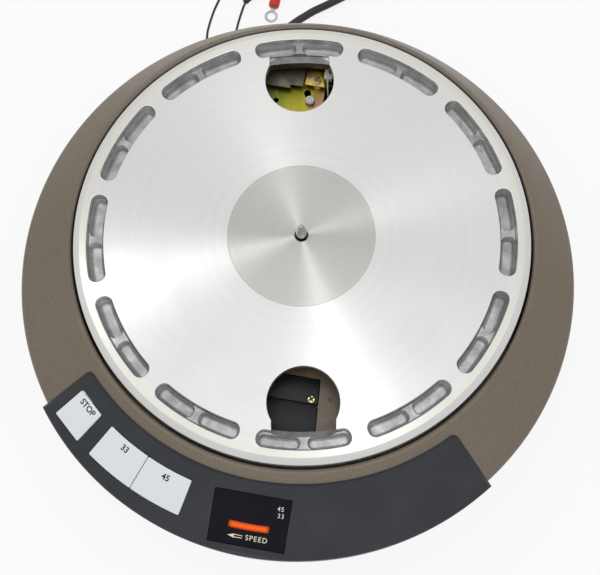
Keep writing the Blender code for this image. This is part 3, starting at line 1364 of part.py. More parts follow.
def shield_plate():
    """The dark shield on the casting's ledge, with its notched front edge."""
    low = FLOOR_TOP + GAP
    (left, right), (front, back) = SHIELD_X, SHIELD_Y
    outline = [
        (left, front), (SHIELD_NOTCH_X, front), (SHIELD_NOTCH_X, front + SHIELD_NOTCH),
        (right, front + SHIELD_NOTCH), (right, back), (left, back)]
    shape = prism(bmesh.new(), outline, low, low + SHIELD_THICKNESS)
    return painted(solid("shield_plate", shape), (0.06, 0.065, 0.07))


def lamp_cover(name, along, tall):
    """A black cover on the chassis plate, seen through the front finger hole."""
    low = PLATE_TOP + GAP
    shape = block(bmesh.new(), COVER_X, along, (low, low + tall))
    return plastic(solid(name, shape), (0.02, 0.022, 0.035))


def lamp_cover_rear():
    """The rear one of the two black covers, with the hole for its screw."""
    piece = lamp_cover("lamp_cover_rear", REAR_COVER_Y, REAR_COVER_HEIGHT)
    top = PLATE_TOP + GAP + REAR_COVER_HEIGHT
    hole = bmesh.new()
    disc(hole, M3_RADIUS + GAP, top - COVER_SCREW_LENGTH - GAP, top + OVERRUN, FASTENER_SIDES,
         COVER_SCREW_PLACE)
    return cut(piece, hole)


def cover_screw():
    """The cross-head screw of the rear cover."""
    seat = PLATE_TOP + 2 * GAP + REAR_COVER_HEIGHT
    shape = bmesh.new()
    screw_shape(shape, COVER_SCREW_PLACE, seat, (CAN_SCREW_HEAD_RADIUS, M3_HEAD_HEIGHT),
                (M3_RADIUS, COVER_SCREW_LENGTH), False)
    return bare_metal(solid("cover_screw", shape), (0.75, 0.7, 0.4))


def mains_gland():
    """The strain relief in the can's wall that the mains lead leaves by."""
    inner = inner_face(GLAND_FLANGE_RADIUS)
    face = CAN_RADIUS + GAP
    outline = [
        (0, inner - GLAND_FLANGE_THICKNESS), (GLAND_FLANGE_RADIUS, inner - GLAND_FLANGE_THICKNESS),
        (GLAND_FLANGE_RADIUS, inner), (GLAND_NECK_RADIUS, inner), (GLAND_NECK_RADIUS, face),
        (GLAND_FLANGE_RADIUS, face), (GLAND_FLANGE_RADIUS, face + GLAND_FLANGE_THICKNESS),
        (GLAND_SNOUT_RADIUS, face + GLAND_FLANGE_THICKNESS), (GLAND_END_RADIUS, GLAND_FACE),
        (0, GLAND_FACE)]
    shape = turned(bmesh.new(), outline, SHAFT_SIDES // 2)
    shape.transform(sideways(GLAND_ANGLE, GLAND_HEIGHT))
    return plastic(solid("mains_gland", shape), BLACK)


def lead_grommet():
    """The rubber grommet that the two thin leads leave by."""
    inner = inner_face(GROMMET_RADIUS)
    face = CAN_RADIUS + GAP
    outline = [
        (0, inner - GROMMET_LIP), (GROMMET_RADIUS, inner - GROMMET_LIP), (GROMMET_RADIUS, inner),
        (GROMMET_NECK_RADIUS, inner), (GROMMET_NECK_RADIUS, face), (GROMMET_RADIUS, face),
        (GROMMET_RADIUS, face + GROMMET_LIP), (0, face + GROMMET_LIP)]
    shape = turned(bmesh.new(), outline, SHAFT_SIDES // 2)
    shape.transform(sideways(GROMMET_ANGLE, GROMMET_HEIGHT))
    return plastic(solid("lead_grommet", shape), BLACK)


def coil_points():
    """The mains lead's coil: in on the lower layer, up in a half turn, out on the upper one."""
    outer = COIL_RADIUS + COIL_PITCH * COIL_TURNS / 2
    inner = outer - COIL_PITCH * COIL_TURNS
    low = CORD_DIAMETER / 2 + FLOOR_GAP
    total = 2 * COIL_TURNS + COIL_CLIMB_TURNS
    points = []
    for turns in spread(0, total, round(total * COIL_POINTS)):
        radius = outer - COIL_PITCH * turns
        share = 0
        if turns > COIL_TURNS:
            share = min(1, (turns - COIL_TURNS) / COIL_CLIMB_TURNS)
            radius = inner + COIL_PITCH * max(0, turns - COIL_TURNS - COIL_CLIMB_TURNS)
        ease = share * share * (3 - 2 * share)
        x, y = polar(radius, COIL_START_ANGLE + 360 * turns)
        points.append(Vector((COIL_CENTRE[0] + x, COIL_CENTRE[1] + y, low + COIL_PITCH * ease)))
    return points


def with_straight_ends(points):
    """Adds a run one diameter long at each end of the coil, square to what it meets."""
    first = (points[0] - points[1]).normalized() * CORD_DIAMETER
    last = (points[-1] - points[-2]).normalized() * CORD_DIAMETER
    return [points[0] + first] + points + [points[-1] + last]


def mains_coil():
    """The part of the mains lead that lies coiled, one unbroken tube."""
    points = with_straight_ends(coil_points())
    room = least_gap(points, CORD_DIAMETER, COIL_POINTS // 2)
    print(f"mains coil: least gap to itself {room * MILLIMETRES:.2f} mm")
    return plastic(tube("mains_coil", points, CORD_DIAMETER, 1), BLACK)


def cord_points():
    """The mains lead from the gland's face to the start of the coil."""
    out = Vector((*polar(1, GLAND_ANGLE), 0))
    face = Vector((*polar(GLAND_FACE + GAP, GLAND_ANGLE), GLAND_HEIGHT))
    coil = with_straight_ends(coil_points())
    back = (coil[0] - coil[1]).normalized()
    end = coil[0] + back * GAP
    route = [face, face + out * CORD_DIAMETER] + list(CORD_ROUTE) + [end + back * CORD_DIAMETER, end]
    return smooth_route(route, CORD_STEP_SHARE * CORD_DIAMETER)


def mains_cord():
    """The mains lead where it lies free."""
    return plastic(tube("mains_cord", cord_points(), CORD_DIAMETER, 2), BLACK)


def plug_frame():
    """Where the plug stands: the coil's last point, its heading and a matrix along it."""
    coil = with_straight_ends(coil_points())
    heading = (coil[-1] - coil[-2]).normalized()
    start = coil[-1] + heading * GAP
    turn = Matrix.Rotation(math.atan2(heading.y, heading.x), 4, "Z")
    return Matrix.Translation(start) @ turn


def mains_plug():
    """The moulded plug on the lead's end, with its two flat blades."""
    half = CORD_DIAMETER / 2 + COIL_PITCH
    sections = []
    for along, wide, tall in (
            (0, PLUG_WAIST, PLUG_WAIST), (PLUG_NECK_LENGTH, PLUG_WAIST, PLUG_WAIST),
            (PLUG_LENGTH / 2, PLUG_HALF_WIDTH, half), (PLUG_LENGTH, PLUG_HALF_WIDTH, half)):
        edge = min(wide, tall) * PLUG_EDGE_SHARE
        sections.append([
            (along, wide, -tall + edge), (along, wide, tall - edge), (along, wide - edge, tall),
            (along, -wide + edge, tall), (along, -wide, tall - edge), (along, -wide, -tall + edge),
            (along, -wide + edge, -tall), (along, wide - edge, -tall)])
    shape = loft(bmesh.new(), sections)
    shape.transform(plug_frame())
    piece = solid("mains_plug", shape)
    blades = bmesh.new()
    for side in (-1, 1):
        middle = side * BLADE_SPACING / 2
        block(blades, (PLUG_LENGTH - BLADE_ROOT, PLUG_LENGTH + BLADE_LENGTH),
              (middle - BLADE_THICKNESS / 2, middle + BLADE_THICKNESS / 2),
              (-BLADE_WIDTH / 2, BLADE_WIDTH / 2))
    blades.transform(plug_frame())
    join(piece, blades)
    return plastic(piece, BLACK)


def lead_points(side, route, sleeve, angle):
    """A thin lead from the grommet to its sleeve; side picks its place in the grommet."""
    out = Vector((*polar(1, GROMMET_ANGLE), 0))
    across = Vector((*polar(1, GROMMET_ANGLE + 90), 0))
    face = CAN_RADIUS + 2 * GAP + GROMMET_LIP
    start = out * face + across * side * LEAD_SPACING / 2 + Vector((0, 0, GROMMET_HEIGHT))
    end = Vector((*sleeve, SLEEVE_RADIUS + FLOOR_GAP))
    back = Vector((*polar(1, angle), 0)) * -1
    end += back * GAP
    straight = 2 * LEAD_DIAMETER
    points = [start, start + out * straight] + list(route) + [end + back * straight, end]
    return smooth_route(points, LEAD_STEP_SHARE * LEAD_DIAMETER)


def earth_lead():
    """The longer thin lead, which turns back behind the unit."""
    points = lead_points(1, EARTH_ROUTE, EARTH_SLEEVE, EARTH_SLEEVE_ANGLE)
    return plastic(tube("earth_lead", points, LEAD_DIAMETER, 2), (0.03, 0.03, 0.03))


def second_lead():
    """The shorter thin lead."""
    points = lead_points(-1, SECOND_ROUTE, SECOND_SLEEVE, SECOND_SLEEVE_ANGLE)
    return plastic(tube("second_lead", points, LEAD_DIAMETER, 2), (0.03, 0.03, 0.03))


def sleeve(name, place, angle, colour):
    """The insulating sleeve between a lead and its terminal."""
    shape = bmesh.new()
    disc(shape, SLEEVE_RADIUS, 0, SLEEVE_LENGTH, FASTENER_SIDES)
    shape.transform(
        Matrix.Translation((*place, SLEEVE_RADIUS + FLOOR_GAP))
        @ Matrix.Rotation(math.radians(angle), 4, "Z") @ Matrix.Rotation(math.radians(90), 4, "Y"))
    return plastic(solid(name, shape), colour)


def ring_terminal():
    """The ring terminal at the longer lead's red sleeve."""
    near = SLEEVE_LENGTH + GAP
    centre = near + TERMINAL_TONGUE + TERMINAL_RADIUS
    half = math.degrees(math.asin(TERMINAL_TONGUE / 2 / TERMINAL_RADIUS))
    low, high = -TERMINAL_THICKNESS / 2, TERMINAL_THICKNESS / 2
    outline = [(near, -TERMINAL_TONGUE / 2)]
    for degrees in spread(-180 + half, 180 - half, END_STEPS * 4):
        step = polar(TERMINAL_RADIUS, degrees)
        outline.append((centre + step[0], step[1]))
    outline.append((near, TERMINAL_TONGUE / 2))
    placed = (Matrix.Translation((*EARTH_SLEEVE, SLEEVE_RADIUS + FLOOR_GAP))
              @ Matrix.Rotation(math.radians(EARTH_SLEEVE_ANGLE), 4, "Z"))
    shape = prism(bmesh.new(), outline, low, high)
    shape.transform(placed)
    piece = solid("ring_terminal", shape)
    hole = disc(bmesh.new(), TERMINAL_HOLE_RADIUS, low - OVERRUN, high + OVERRUN, FASTENER_SIDES,
                (centre, 0))
    hole.transform(placed)
    cut(piece, hole)
    return bare_metal(piece, (0.7, 0.7, 0.66))


def group(name, place, pieces):
    """Puts pieces under an empty that stands on their joint's axis."""
    holder = link(name, None)
    holder.location = place
    for piece in pieces:
        piece.parent = holder
        piece.matrix_parent_inverse = Matrix.Translation(-Vector(place))
    return holder


def main():
    """Builds the whole unit."""
    for old in list(bpy.data.objects):
        bpy.data.objects.remove(old, do_unlink=True)
    seat = (0, 0, HUB_TOP)
    group("base", (0, 0, 0), [
        chassis_casting(), chassis_plate(), motor_cover(), stator_core(), stator_winding(),
        bearing_housing(), bearing_bushing(), thrust_ball(), thrust_cap(), pulse_head(),
        head_bracket(), head_screw(), head_lead(), shield_plate(), servo_board(), board_capacitor(),
        transformer_core(), transformer_winding(), lamp_cover_rear(),
        lamp_cover("lamp_cover_front", FRONT_COVER_Y, FRONT_COVER_HEIGHT), cover_screw(),
        control_panel(), switch_block(), switch_plate(), strobe_window(), strobe_diffuser(),
        neon_lamp(), bottom_can()])
    fasteners = [motor_screw(number) for number in range(MOTOR_SCREW_COUNT)]
    fasteners += [can_screw(number) for number in range(CAN_SCREW_COUNT)]
    fasteners += [panel_screw(number) for number in range(len(PEG_ANGLES))]
    fasteners += [board_support(number) for number in range(len(SUPPORT_PLACES))]
    fasteners += [transformer_screw(number) for number in range(len(transformer_screw_places()))]
    group("fasteners", (0, 0, 0), fasteners)
    group("rotor_axis", seat, [spindle_shaft(), rotor_hub(), rotor_bell()])
    group("platter_axis", seat, [platter(), pulse_ring()])
    button("stop_button", STOP_ANGLES, 0, 0)
    button("button_33", ANGLES_33, 0, BUTTON_GAP / 2)
    button("button_45", ANGLES_45, BUTTON_GAP / 2, 0)
    group("mains_lead", (0, 0, 0), [mains_gland(), mains_cord(), mains_coil(), mains_plug()])
    group("thin_leads", (0, 0, 0), [
        lead_grommet(), earth_lead(), second_lead(), ring_terminal(),
        sleeve("red_sleeve", EARTH_SLEEVE, EARTH_SLEEVE_ANGLE, (0.7, 0.02, 0.01)),
        sleeve("dark_sleeve", SECOND_SLEEVE, SECOND_SLEEVE_ANGLE, (0.03, 0.03, 0.03))])


main()
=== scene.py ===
"""Looks for a direct-drive turntable motor unit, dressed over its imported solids.

Lengths are in metres unless a name ends in MM. Z runs up the spindle, the control
panel faces -Y, and the origin is where the spindle's axis meets the floor.
"""

import logging
import math
from dataclasses import dataclass, field
from enum import Enum
from typing import Callable, Iterable, Optional, Sequence

import bmesh
import bpy
from mathutils import Matrix, Vector


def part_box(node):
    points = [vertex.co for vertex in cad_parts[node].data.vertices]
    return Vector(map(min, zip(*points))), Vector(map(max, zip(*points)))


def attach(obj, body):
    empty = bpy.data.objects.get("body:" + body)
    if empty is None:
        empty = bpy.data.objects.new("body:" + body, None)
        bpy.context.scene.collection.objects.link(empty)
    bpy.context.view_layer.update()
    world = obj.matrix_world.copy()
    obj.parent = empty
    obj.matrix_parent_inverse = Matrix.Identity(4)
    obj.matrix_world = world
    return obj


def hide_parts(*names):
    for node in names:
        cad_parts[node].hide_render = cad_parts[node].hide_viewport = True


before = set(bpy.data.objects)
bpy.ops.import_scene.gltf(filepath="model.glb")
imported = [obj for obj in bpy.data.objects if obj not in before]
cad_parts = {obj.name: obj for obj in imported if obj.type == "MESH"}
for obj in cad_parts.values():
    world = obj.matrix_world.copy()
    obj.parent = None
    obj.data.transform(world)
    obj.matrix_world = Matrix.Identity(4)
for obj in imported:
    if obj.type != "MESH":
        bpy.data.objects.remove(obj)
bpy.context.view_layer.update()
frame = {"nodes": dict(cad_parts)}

LOG = logging.getLogger("turntable")
MM = 0.001
Point = Sequence[float]
Colour = tuple[float, float, float]


class Body(Enum):
    """The bodies that pieces ride on."""

    BASE = "base"
    ROTOR = "rotor"
    PLATTER = "platter"
    STOP = "stop_button_cap"
    SPEED_33 = "button_33_cap"
    SPEED_45 = "button_45_cap"


class Way(Enum):
    """Whether a shape is taken out of a piece or added to it."""

    CUT = "DIFFERENCE"
    ADD = "UNION"


def polar(radius: float, degrees: float) -> Vector:
    """The flat point at a radius and an angle round the spindle."""
    turn = math.radians(degrees)
    return Vector((radius * math.cos(turn), radius * math.sin(turn)))


def spread(first: float, last: float, steps: int) -> list[float]:
    """Evenly spaced values from the first to the last, both included."""
    return [first + (last - first) * step / steps for step in range(steps + 1)]


@dataclass(frozen=True)
class Slope:
    """The casting's sloped top: an oblique cone between the ridge and the forward-set rim."""

    ridge_radius: float = 0.161
    rim_radius: float = 0.1915
    rim_offset: float = 0.020
    ridge_height: float = 0.122
    drop: float = 0.018

    def share(self, x: float, y: float) -> float:
        """How far a place is from the ridge towards the rim, 0 to 1 and on.

        Args:
            x: Place across.
            y: Place along.

        Returns:
            The share of the way from ridge to rim.
        """
        growth = self.rim_radius - self.ridge_radius
        square = growth ** 2 - self.rim_offset ** 2
        linear = 2 * (self.ridge_radius * growth - self.rim_offset * y)
        constant = self.ridge_radius ** 2 - x * x - y * y
        return (-linear + math.sqrt(max(0.0, linear ** 2 - 4 * square * constant))) / (2 * square)

    def height(self, x: float, y: float) -> float:
        """Height of the slope over a place, run on past the rim."""
        return self.ridge_height - self.drop * self.share(x, y)

    def reach(self, degrees: float, radius: float) -> float:
        """How far from the spindle a circle about the rim's centre is, at an angle."""
        along = -self.rim_offset * math.sin(math.radians(degrees))
        return along + math.sqrt(along ** 2 - self.rim_offset ** 2 + radius ** 2)


SLOPE = Slope()


class Mould:
    """A mesh in the making, shaped with bmesh operators."""

    def __init__(self) -> None:
        """Starts empty."""
        self.mesh = bmesh.new()

    def wire(self, points: Iterable[Point]) -> list[bmesh.types.BMVert]:
        """Adds loose points to work from."""
        return [self.mesh.verts.new((*point, 0.0)[:3]) for point in points]

    def face(self, outline: Iterable[Point], height: float) -> bmesh.types.BMFace:
        """Adds one flat face at a height.

        Args:
            outline: Its corners, as flat points.
            height: How high it lies.

        Returns:
            The new face.
        """
        return self.mesh.faces.new([self.mesh.verts.new((p[0], p[1], height)) for p in outline])

    def round_corners(self, corners: Sequence[bmesh.types.BMVert], radius: float, steps: int) -> None:
        """Rounds corners of flat faces."""
        bmesh.ops.bevel(
            self.mesh, geom=list(corners), offset=radius, offset_type="OFFSET", segments=steps,
            profile=0.5, affect="VERTICES", clamp_overlap=True, material=-1)

    def arc_face(self, radii: Point, angles: Point, height: float, corner: float, steps: int = 24,
                 corner_steps: int = 6) -> bmesh.types.BMFace:
        """Adds a flat face between two radii and two angles, with rounded corners.

        Args:
            radii: Inner and outer radius about the spindle.
            angles: First and last angle.
            height: How high it lies.
            corner: Radius of its four corners.
            steps: Steps along the arcs.
            corner_steps: Steps round each corner.

        Returns:
            The new face.
        """
        middle = (radii[0] + radii[1]) / 2
        half = math.radians(angles[1] - angles[0]) * middle / 2
        old = set(self.mesh.verts)
        face = self.face([(-half, radii[0]), (half, radii[0]), (half, radii[1]), (-half, radii[1])], height)
        if corner:
            self.round_corners(list(face.verts), corner, corner_steps)
        new = [vert for vert in self.mesh.verts if vert not in old]
        edges = {edge for vert in new for edge in vert.link_edges}
        for edge in sorted(edges, key=lambda item: -item.calc_length())[:2]:
            bmesh.ops.bisect_edges(self.mesh, edges=[edge], cuts=steps)
        new = [vert for vert in self.mesh.verts if vert not in old]
        for vert in new:
            turn = (angles[0] + angles[1]) / 2 + math.degrees(vert.co.x / middle)
            vert.co = (*polar(vert.co.y, turn), vert.co.z)
        return max({face for vert in new for face in vert.link_faces}, key=lambda item: item.calc_area())

    def raise_face(self, face: bmesh.types.BMFace, rise: float) -> bmesh.types.BMFace:
        """Extrudes a face upwards and closes it below.

        Args:
            face: The flat face, which stays as the lower end.
            rise: How far up the other end goes; negative goes down.

        Returns:
            The new end's face.
        """
        raised = bmesh.ops.extrude_face_region(self.mesh, geom=[face], use_keep_orig=True)["geom"]
        corners = [item for item in raised if isinstance(item, bmesh.types.BMVert)]
        bmesh.ops.translate(self.mesh, verts=corners, vec=(0, 0, rise))
        return next(item for item in raised if isinstance(item, bmesh.types.BMFace))

    def step_in(self, face: bmesh.types.BMFace, steps: Iterable[Point]) -> bmesh.types.BMFace:
        """Insets a face again and again, each time moving it on along its normal.

        Args:
            face: The face to work on.
            steps: Pairs of how far in and how far on.

        Returns:
            The same face, now the innermost.
        """
        for inwards, onwards in steps:
            bmesh.ops.inset_region(
                self.mesh, faces=[face], thickness=inwards, depth=onwards, use_even_offset=True,
                use_boundary=True)
        return face

    def lathe(self, profile: Sequence[Point], steps: int = 180, centre: Point = (0, 0),
              closed: bool = True) -> "Mould":
        """Turns a profile about an upright axis.

        Args:
            profile: Radius, height and corner radius of each point; the corner may be left out.
            steps: Steps of a full turn.
            centre: Where the axis stands.
            closed: Whether the last point joins the first.

        Returns:
            This mould.
        """
        old = set(self.mesh.verts)
        corners = [self.mesh.verts.new((point[0], 0, point[1])) for point in profile]
        self.mesh.faces.new(corners)
        rounded: dict[float, list[bmesh.types.BMVert]] = {}
        for corner, point in zip(corners, profile):
            if len(point) > 2 and point[2]:
                rounded.setdefault(point[2], []).append(corner)
        for radius, group in rounded.items():
            self.round_corners([vert for vert in group if vert.is_valid], radius, 4)
        new = [vert for vert in self.mesh.verts if vert not in old]
        faces = list({face for vert in new for face in vert.link_faces})
        bmesh.ops.delete(self.mesh, geom=faces, context="FACES_ONLY")
        edges = list({edge for vert in new for edge in vert.link_edges})
        on_axis = [edge for edge in edges if all(abs(v.co.x) < 1e-9 for v in edge.verts)]
        bmesh.ops.delete(self.mesh, geom=on_axis, context="EDGES")
        edges = [edge for edge in edges if edge.is_valid]
        if not closed:
            gap = [edge for edge in edges if set(edge.verts) == {corners[0], corners[-1]}]
            bmesh.ops.delete(self.mesh, geom=gap, context="EDGES")
            edges = [edge for edge in edges if edge.is_valid]
        bmesh.ops.spin(
            self.mesh, geom=new + edges, cent=(0, 0, 0), axis=(0, 0, 1), angle=math.tau,
            steps=steps, use_merge=True)
        bmesh.ops.remove_doubles(
            self.mesh, verts=[v for v in self.mesh.verts if v not in old], dist=1e-6)
        made = [vert for vert in self.mesh.verts if vert not in old]
        bmesh.ops.translate(self.mesh, verts=made, vec=(centre[0], centre[1], 0))
        return self

    def place(self, matrix: Matrix) -> "Mould":
        """Moves the whole mould."""
        bmesh.ops.transform(self.mesh, matrix=matrix, verts=self.mesh.verts)
        return self

    def slice_fan(self, angles: Iterable[float]) -> "Mould":
        """Cuts the faces along upright planes through the spindle's axis."""
        for degrees in angles:
            across = polar(1, degrees + 90)
            geom = list(self.mesh.verts) + list(self.mesh.edges) + list(self.mesh.faces)
            bmesh.ops.bisect_plane(
                self.mesh, geom=geom, plane_co=(0, 0, 0), plane_no=(across.x, across.y, 0), dist=1e-6)
        return self

    def slice_across(self, places: Iterable[float]) -> "Mould":
        """Cuts the faces along upright planes square to X."""
        for place in places:
            geom = list(self.mesh.verts) + list(self.mesh.edges) + list(self.mesh.faces)
            bmesh.ops.bisect_plane(
                self.mesh, geom=geom, plane_co=(place, 0, 0), plane_no=(1, 0, 0), dist=1e-6)
        return self

    def drape(self, floor: Optional[float] = None, below: float = -0.004) -> "Mould":
        """Lays the mould over the slope; what lies well below it is set level instead.

        Args:
            floor: Height for the points that lie well below.
            below: Which points count as those.

        Returns:
            This mould.
        """
        for vert in self.mesh.verts:
            if floor is not None and vert.co.z < below:
                vert.co.z = floor
            else:
                vert.co.z += SLOPE.height(vert.co.x, vert.co.y)
        return self

    def outward(self) -> "Mould":
        """Turns every face outward."""
        self.mesh.normal_update()
        bmesh.ops.recalc_face_normals(self.mesh, faces=self.mesh.faces)
        if self.mesh.calc_volume(signed=True) < 0:
            bmesh.ops.reverse_faces(self.mesh, faces=self.mesh.faces)
        return self

    def soften(self, width: float, steps: int, chosen: Callable[[bmesh.types.BMEdge], bool]) -> "Mould":
        """Bevels the edges that a test picks."""
        edges = [edge for edge in self.mesh.edges if chosen(edge)]
        bmesh.ops.bevel(
            self.mesh, geom=edges, offset=width, offset_type="OFFSET", segments=steps, profile=0.5,
            affect="EDGES", clamp_overlap=True, material=-1)
        return self

    def soften_sharp(self, width: float, steps: int, angle: float = 40) -> "Mould":
        """Bevels every edge that is sharper than an angle in degrees."""
        least = math.radians(angle)
        return self.soften(
            width, steps, lambda edge: len(edge.link_faces) == 2 and edge.calc_face_angle(0) > least)

    def done(self, name: str, angle: float = 34) -> bpy.types.Object:
        """Turns the mould into an object.

        Args:
            name: The piece's name.
            angle: Edges sharper than this, in degrees, stay sharp.

        Returns:
            The object, at the origin.
        """
        self.outward()
        data = bpy.data.meshes.new(name)
        self.mesh.to_mesh(data)
        self.mesh.free()
        data.shade_smooth()
        data.set_sharp_from_angle(angle=math.radians(angle))
        piece = bpy.data.objects.new(name, data)
        bpy.context.scene.collection.objects.link(piece)
        return piece


def bake(piece: bpy.types.Object, angle: float = 34) -> bpy.types.Object:
    """Applies a piece's modifiers, so that only its mesh is left.

    Args:
        piece: The piece to work on.
        angle: Edges sharper than this, in degrees, stay sharp.

    Returns:
        The same piece.
    """
    graph = bpy.context.evaluated_depsgraph_get()
    data = bpy.data.meshes.new_from_object(piece.evaluated_get(graph), depsgraph=graph)
    piece.modifiers.clear()
    old = piece.data
    piece.data = data
    if isinstance(old, bpy.types.Mesh):
        bpy.data.meshes.remove(old)
    tidy = bmesh.new()
    tidy.from_mesh(data)
    bmesh.ops.remove_doubles(tidy, verts=tidy.verts, dist=2e-7)
    tidy.to_mesh(data)
    tidy.free()
    data.name = piece.name
    data.shade_smooth()
    data.set_sharp_from_angle(angle=math.radians(angle))
    return piece


def combine(piece: bpy.types.Object, tools: Iterable[bpy.types.Object], way: Way) -> bpy.types.Object:
    """Cuts shapes out of a piece or adds them, and removes the shapes.

    Args:
        piece: The piece to change.
        tools: The shapes, clear of each other.
        way: Cut or add.

    Returns:
        The same piece.
    """
    mould = Mould()
    for tool in tools:
        mould.mesh.from_mesh(tool.data)
        bpy.data.objects.remove(tool)
    shape = mould.done("shapes")
    change = piece.modifiers.new("change", "BOOLEAN")
    change.operation = way.value
    change.solver = "EXACT"
    change.object = shape
    bake(piece)
    bpy.data.objects.remove(shape)
    return piece


def even_light(piece: bpy.types.Object) -> bpy.types.Object:
    """Lets the large faces lead the shading beside small rounded edges."""
    weigh = piece.modifiers.new("even_light", "WEIGHTED_NORMAL")
    weigh.keep_sharp = True
    weigh.weight = 90
    return piece


class Nodes:
    """A material's node tree, built up a node at a time around its Principled shader."""

    def __init__(self, name: str) -> None:
        """Makes a material whose shader is a plain Principled one."""
        self.material = bpy.data.materials.new(name)
        self.material.use_nodes = True
        self.tree = self.material.node_tree
        self.shader = self.tree.nodes["Principled BSDF"]

    def add(self, kind: str, **settings: object) -> bpy.types.Node:
        """Adds a node and sets its properties."""
        node = self.tree.nodes.new(kind)
        for key, value in settings.items():
            setattr(node, key, value)
        return node

    def link(self, source: bpy.types.NodeSocket, target: bpy.types.NodeSocket) -> None:
        """Joins two sockets."""
        self.tree.links.new(source, target)

    def place(self, scale: Point = (1, 1, 1)) -> bpy.types.NodeSocket:
        """Where a surface point is, in the object's own metres, scaled.

        Args:
            scale: How much each direction is stretched.

        Returns:
            A vector socket.
        """
        where = self.add("ShaderNodeTexCoord").outputs["Object"]
        mapping = self.add("ShaderNodeMapping")
        mapping.inputs["Scale"].default_value = tuple(scale)
        self.link(where, mapping.inputs["Vector"])
        return mapping.outputs["Vector"]

    def noise(self, size: float, detail: float = 3, where: Optional[bpy.types.NodeSocket] = None,
              roughness: float = 0.55) -> bpy.types.NodeSocket:
        """Cloudy noise.

        Args:
            size: Size of its blotches in metres.
            detail: How many finer layers it has.
            where: The place it reads; the object's own if left out.
            roughness: How strong the finer layers are.

        Returns:
            A value socket from 0 to 1.
        """
        node = self.add("ShaderNodeTexNoise")
        node.inputs["Scale"].default_value = 1 / size
        node.inputs["Detail"].default_value = detail
        node.inputs["Roughness"].default_value = roughness
        self.link(where if where is not None else self.place(), node.inputs["Vector"])
        return node.outputs["Fac"]

    def ramp(self, value: bpy.types.NodeSocket, stops: Sequence[tuple[float, Colour]]) -> bpy.types.NodeSocket:
        """Turns a value into a colour.

        Args:
            value: The value.
            stops: Places and colours.

        Returns:
            A colour socket.
        """
        node = self.add("ShaderNodeValToRGB")
        band = node.color_ramp
        while len(band.elements) < len(stops):
            band.elements.new(0.5)
        for element, (at, colour) in zip(band.elements, stops):
            element.position = at
            element.color = (*colour, 1)
        self.link(value, node.inputs["Fac"])
        return node.outputs["Color"]

    def span(self, value: bpy.types.NodeSocket, low: float, high: float, first: float = 0,
             last: float = 1) -> bpy.types.NodeSocket:
        """Maps a value's range onto another, clamped.

        Args:
            value: The value.
            low: What maps to first.
            high: What maps to last.
            first: Result at low.
            last: Result at high.

        Returns:
            A value socket.
        """
        node = self.add("ShaderNodeMapRange", clamp=True)
        for key, number in (("From Min", low), ("From Max", high), ("To Min", first), ("To Max", last)):
            node.inputs[key].default_value = number
        self.link(value, node.inputs["Value"])
        return node.outputs["Result"]

    def sum(self, operation: str, first: bpy.types.NodeSocket, second: object) -> bpy.types.NodeSocket:
        """A sum of a socket and a socket or number."""
        node = self.add("ShaderNodeMath", operation=operation)
        self.link(first, node.inputs[0])
        if isinstance(second, bpy.types.NodeSocket):
            self.link(second, node.inputs[1])
        else:
            node.inputs[1].default_value = second
        return node.outputs["Value"]

    def mix(self, share: object, first: object, second: object, blend: str = "MIX") -> bpy.types.NodeSocket:
        """Mixes two colours.

        Args:
            share: A socket or number.
            first: A socket or colour.
            second: A socket or colour.
            blend: How they are mixed.

        Returns:
            A colour socket.
        """
        node = self.add("ShaderNodeMix", data_type="RGBA", blend_type=blend)
        for socket, value in ((node.inputs[0], share), (node.inputs[6], first), (node.inputs[7], second)):
            if isinstance(value, bpy.types.NodeSocket):
                self.link(value, socket)
            elif isinstance(value, (int, float)):
                socket.default_value = value
            else:
                socket.default_value = (*value, 1)
        return node.outputs[2]

    def radius(self) -> bpy.types.NodeSocket:
        """How far a surface point is from the spindle's axis."""
        flat = self.place((1, 1, 0))
        length = self.add("ShaderNodeVectorMath", operation="LENGTH")
        self.link(flat, length.inputs[0])
        return length.outputs["Value"]

    def bump(self, height: bpy.types.NodeSocket, depth: float, strength: float = 1) -> None:
        """Dents the surface by a value.

        Args:
            height: The value.
            depth: What 1 is worth, in metres.
            strength: How much of it shows.
        """
        node = self.add("ShaderNodeBump")
        node.inputs["Distance"].default_value = depth
        node.inputs["Strength"].default_value = strength
        self.link(height, node.inputs["Height"])
        self.link(node.outputs["Normal"], self.shader.inputs["Normal"])

    def set(self, **values: object) -> None:
        """Sets plain numbers or colours on the shader."""
        for key, value in values.items():
            socket = self.shader.inputs[key.replace("_", " ").title().replace("Ior", "IOR")]
            socket.default_value = (*value, 1) if isinstance(value, tuple) else value


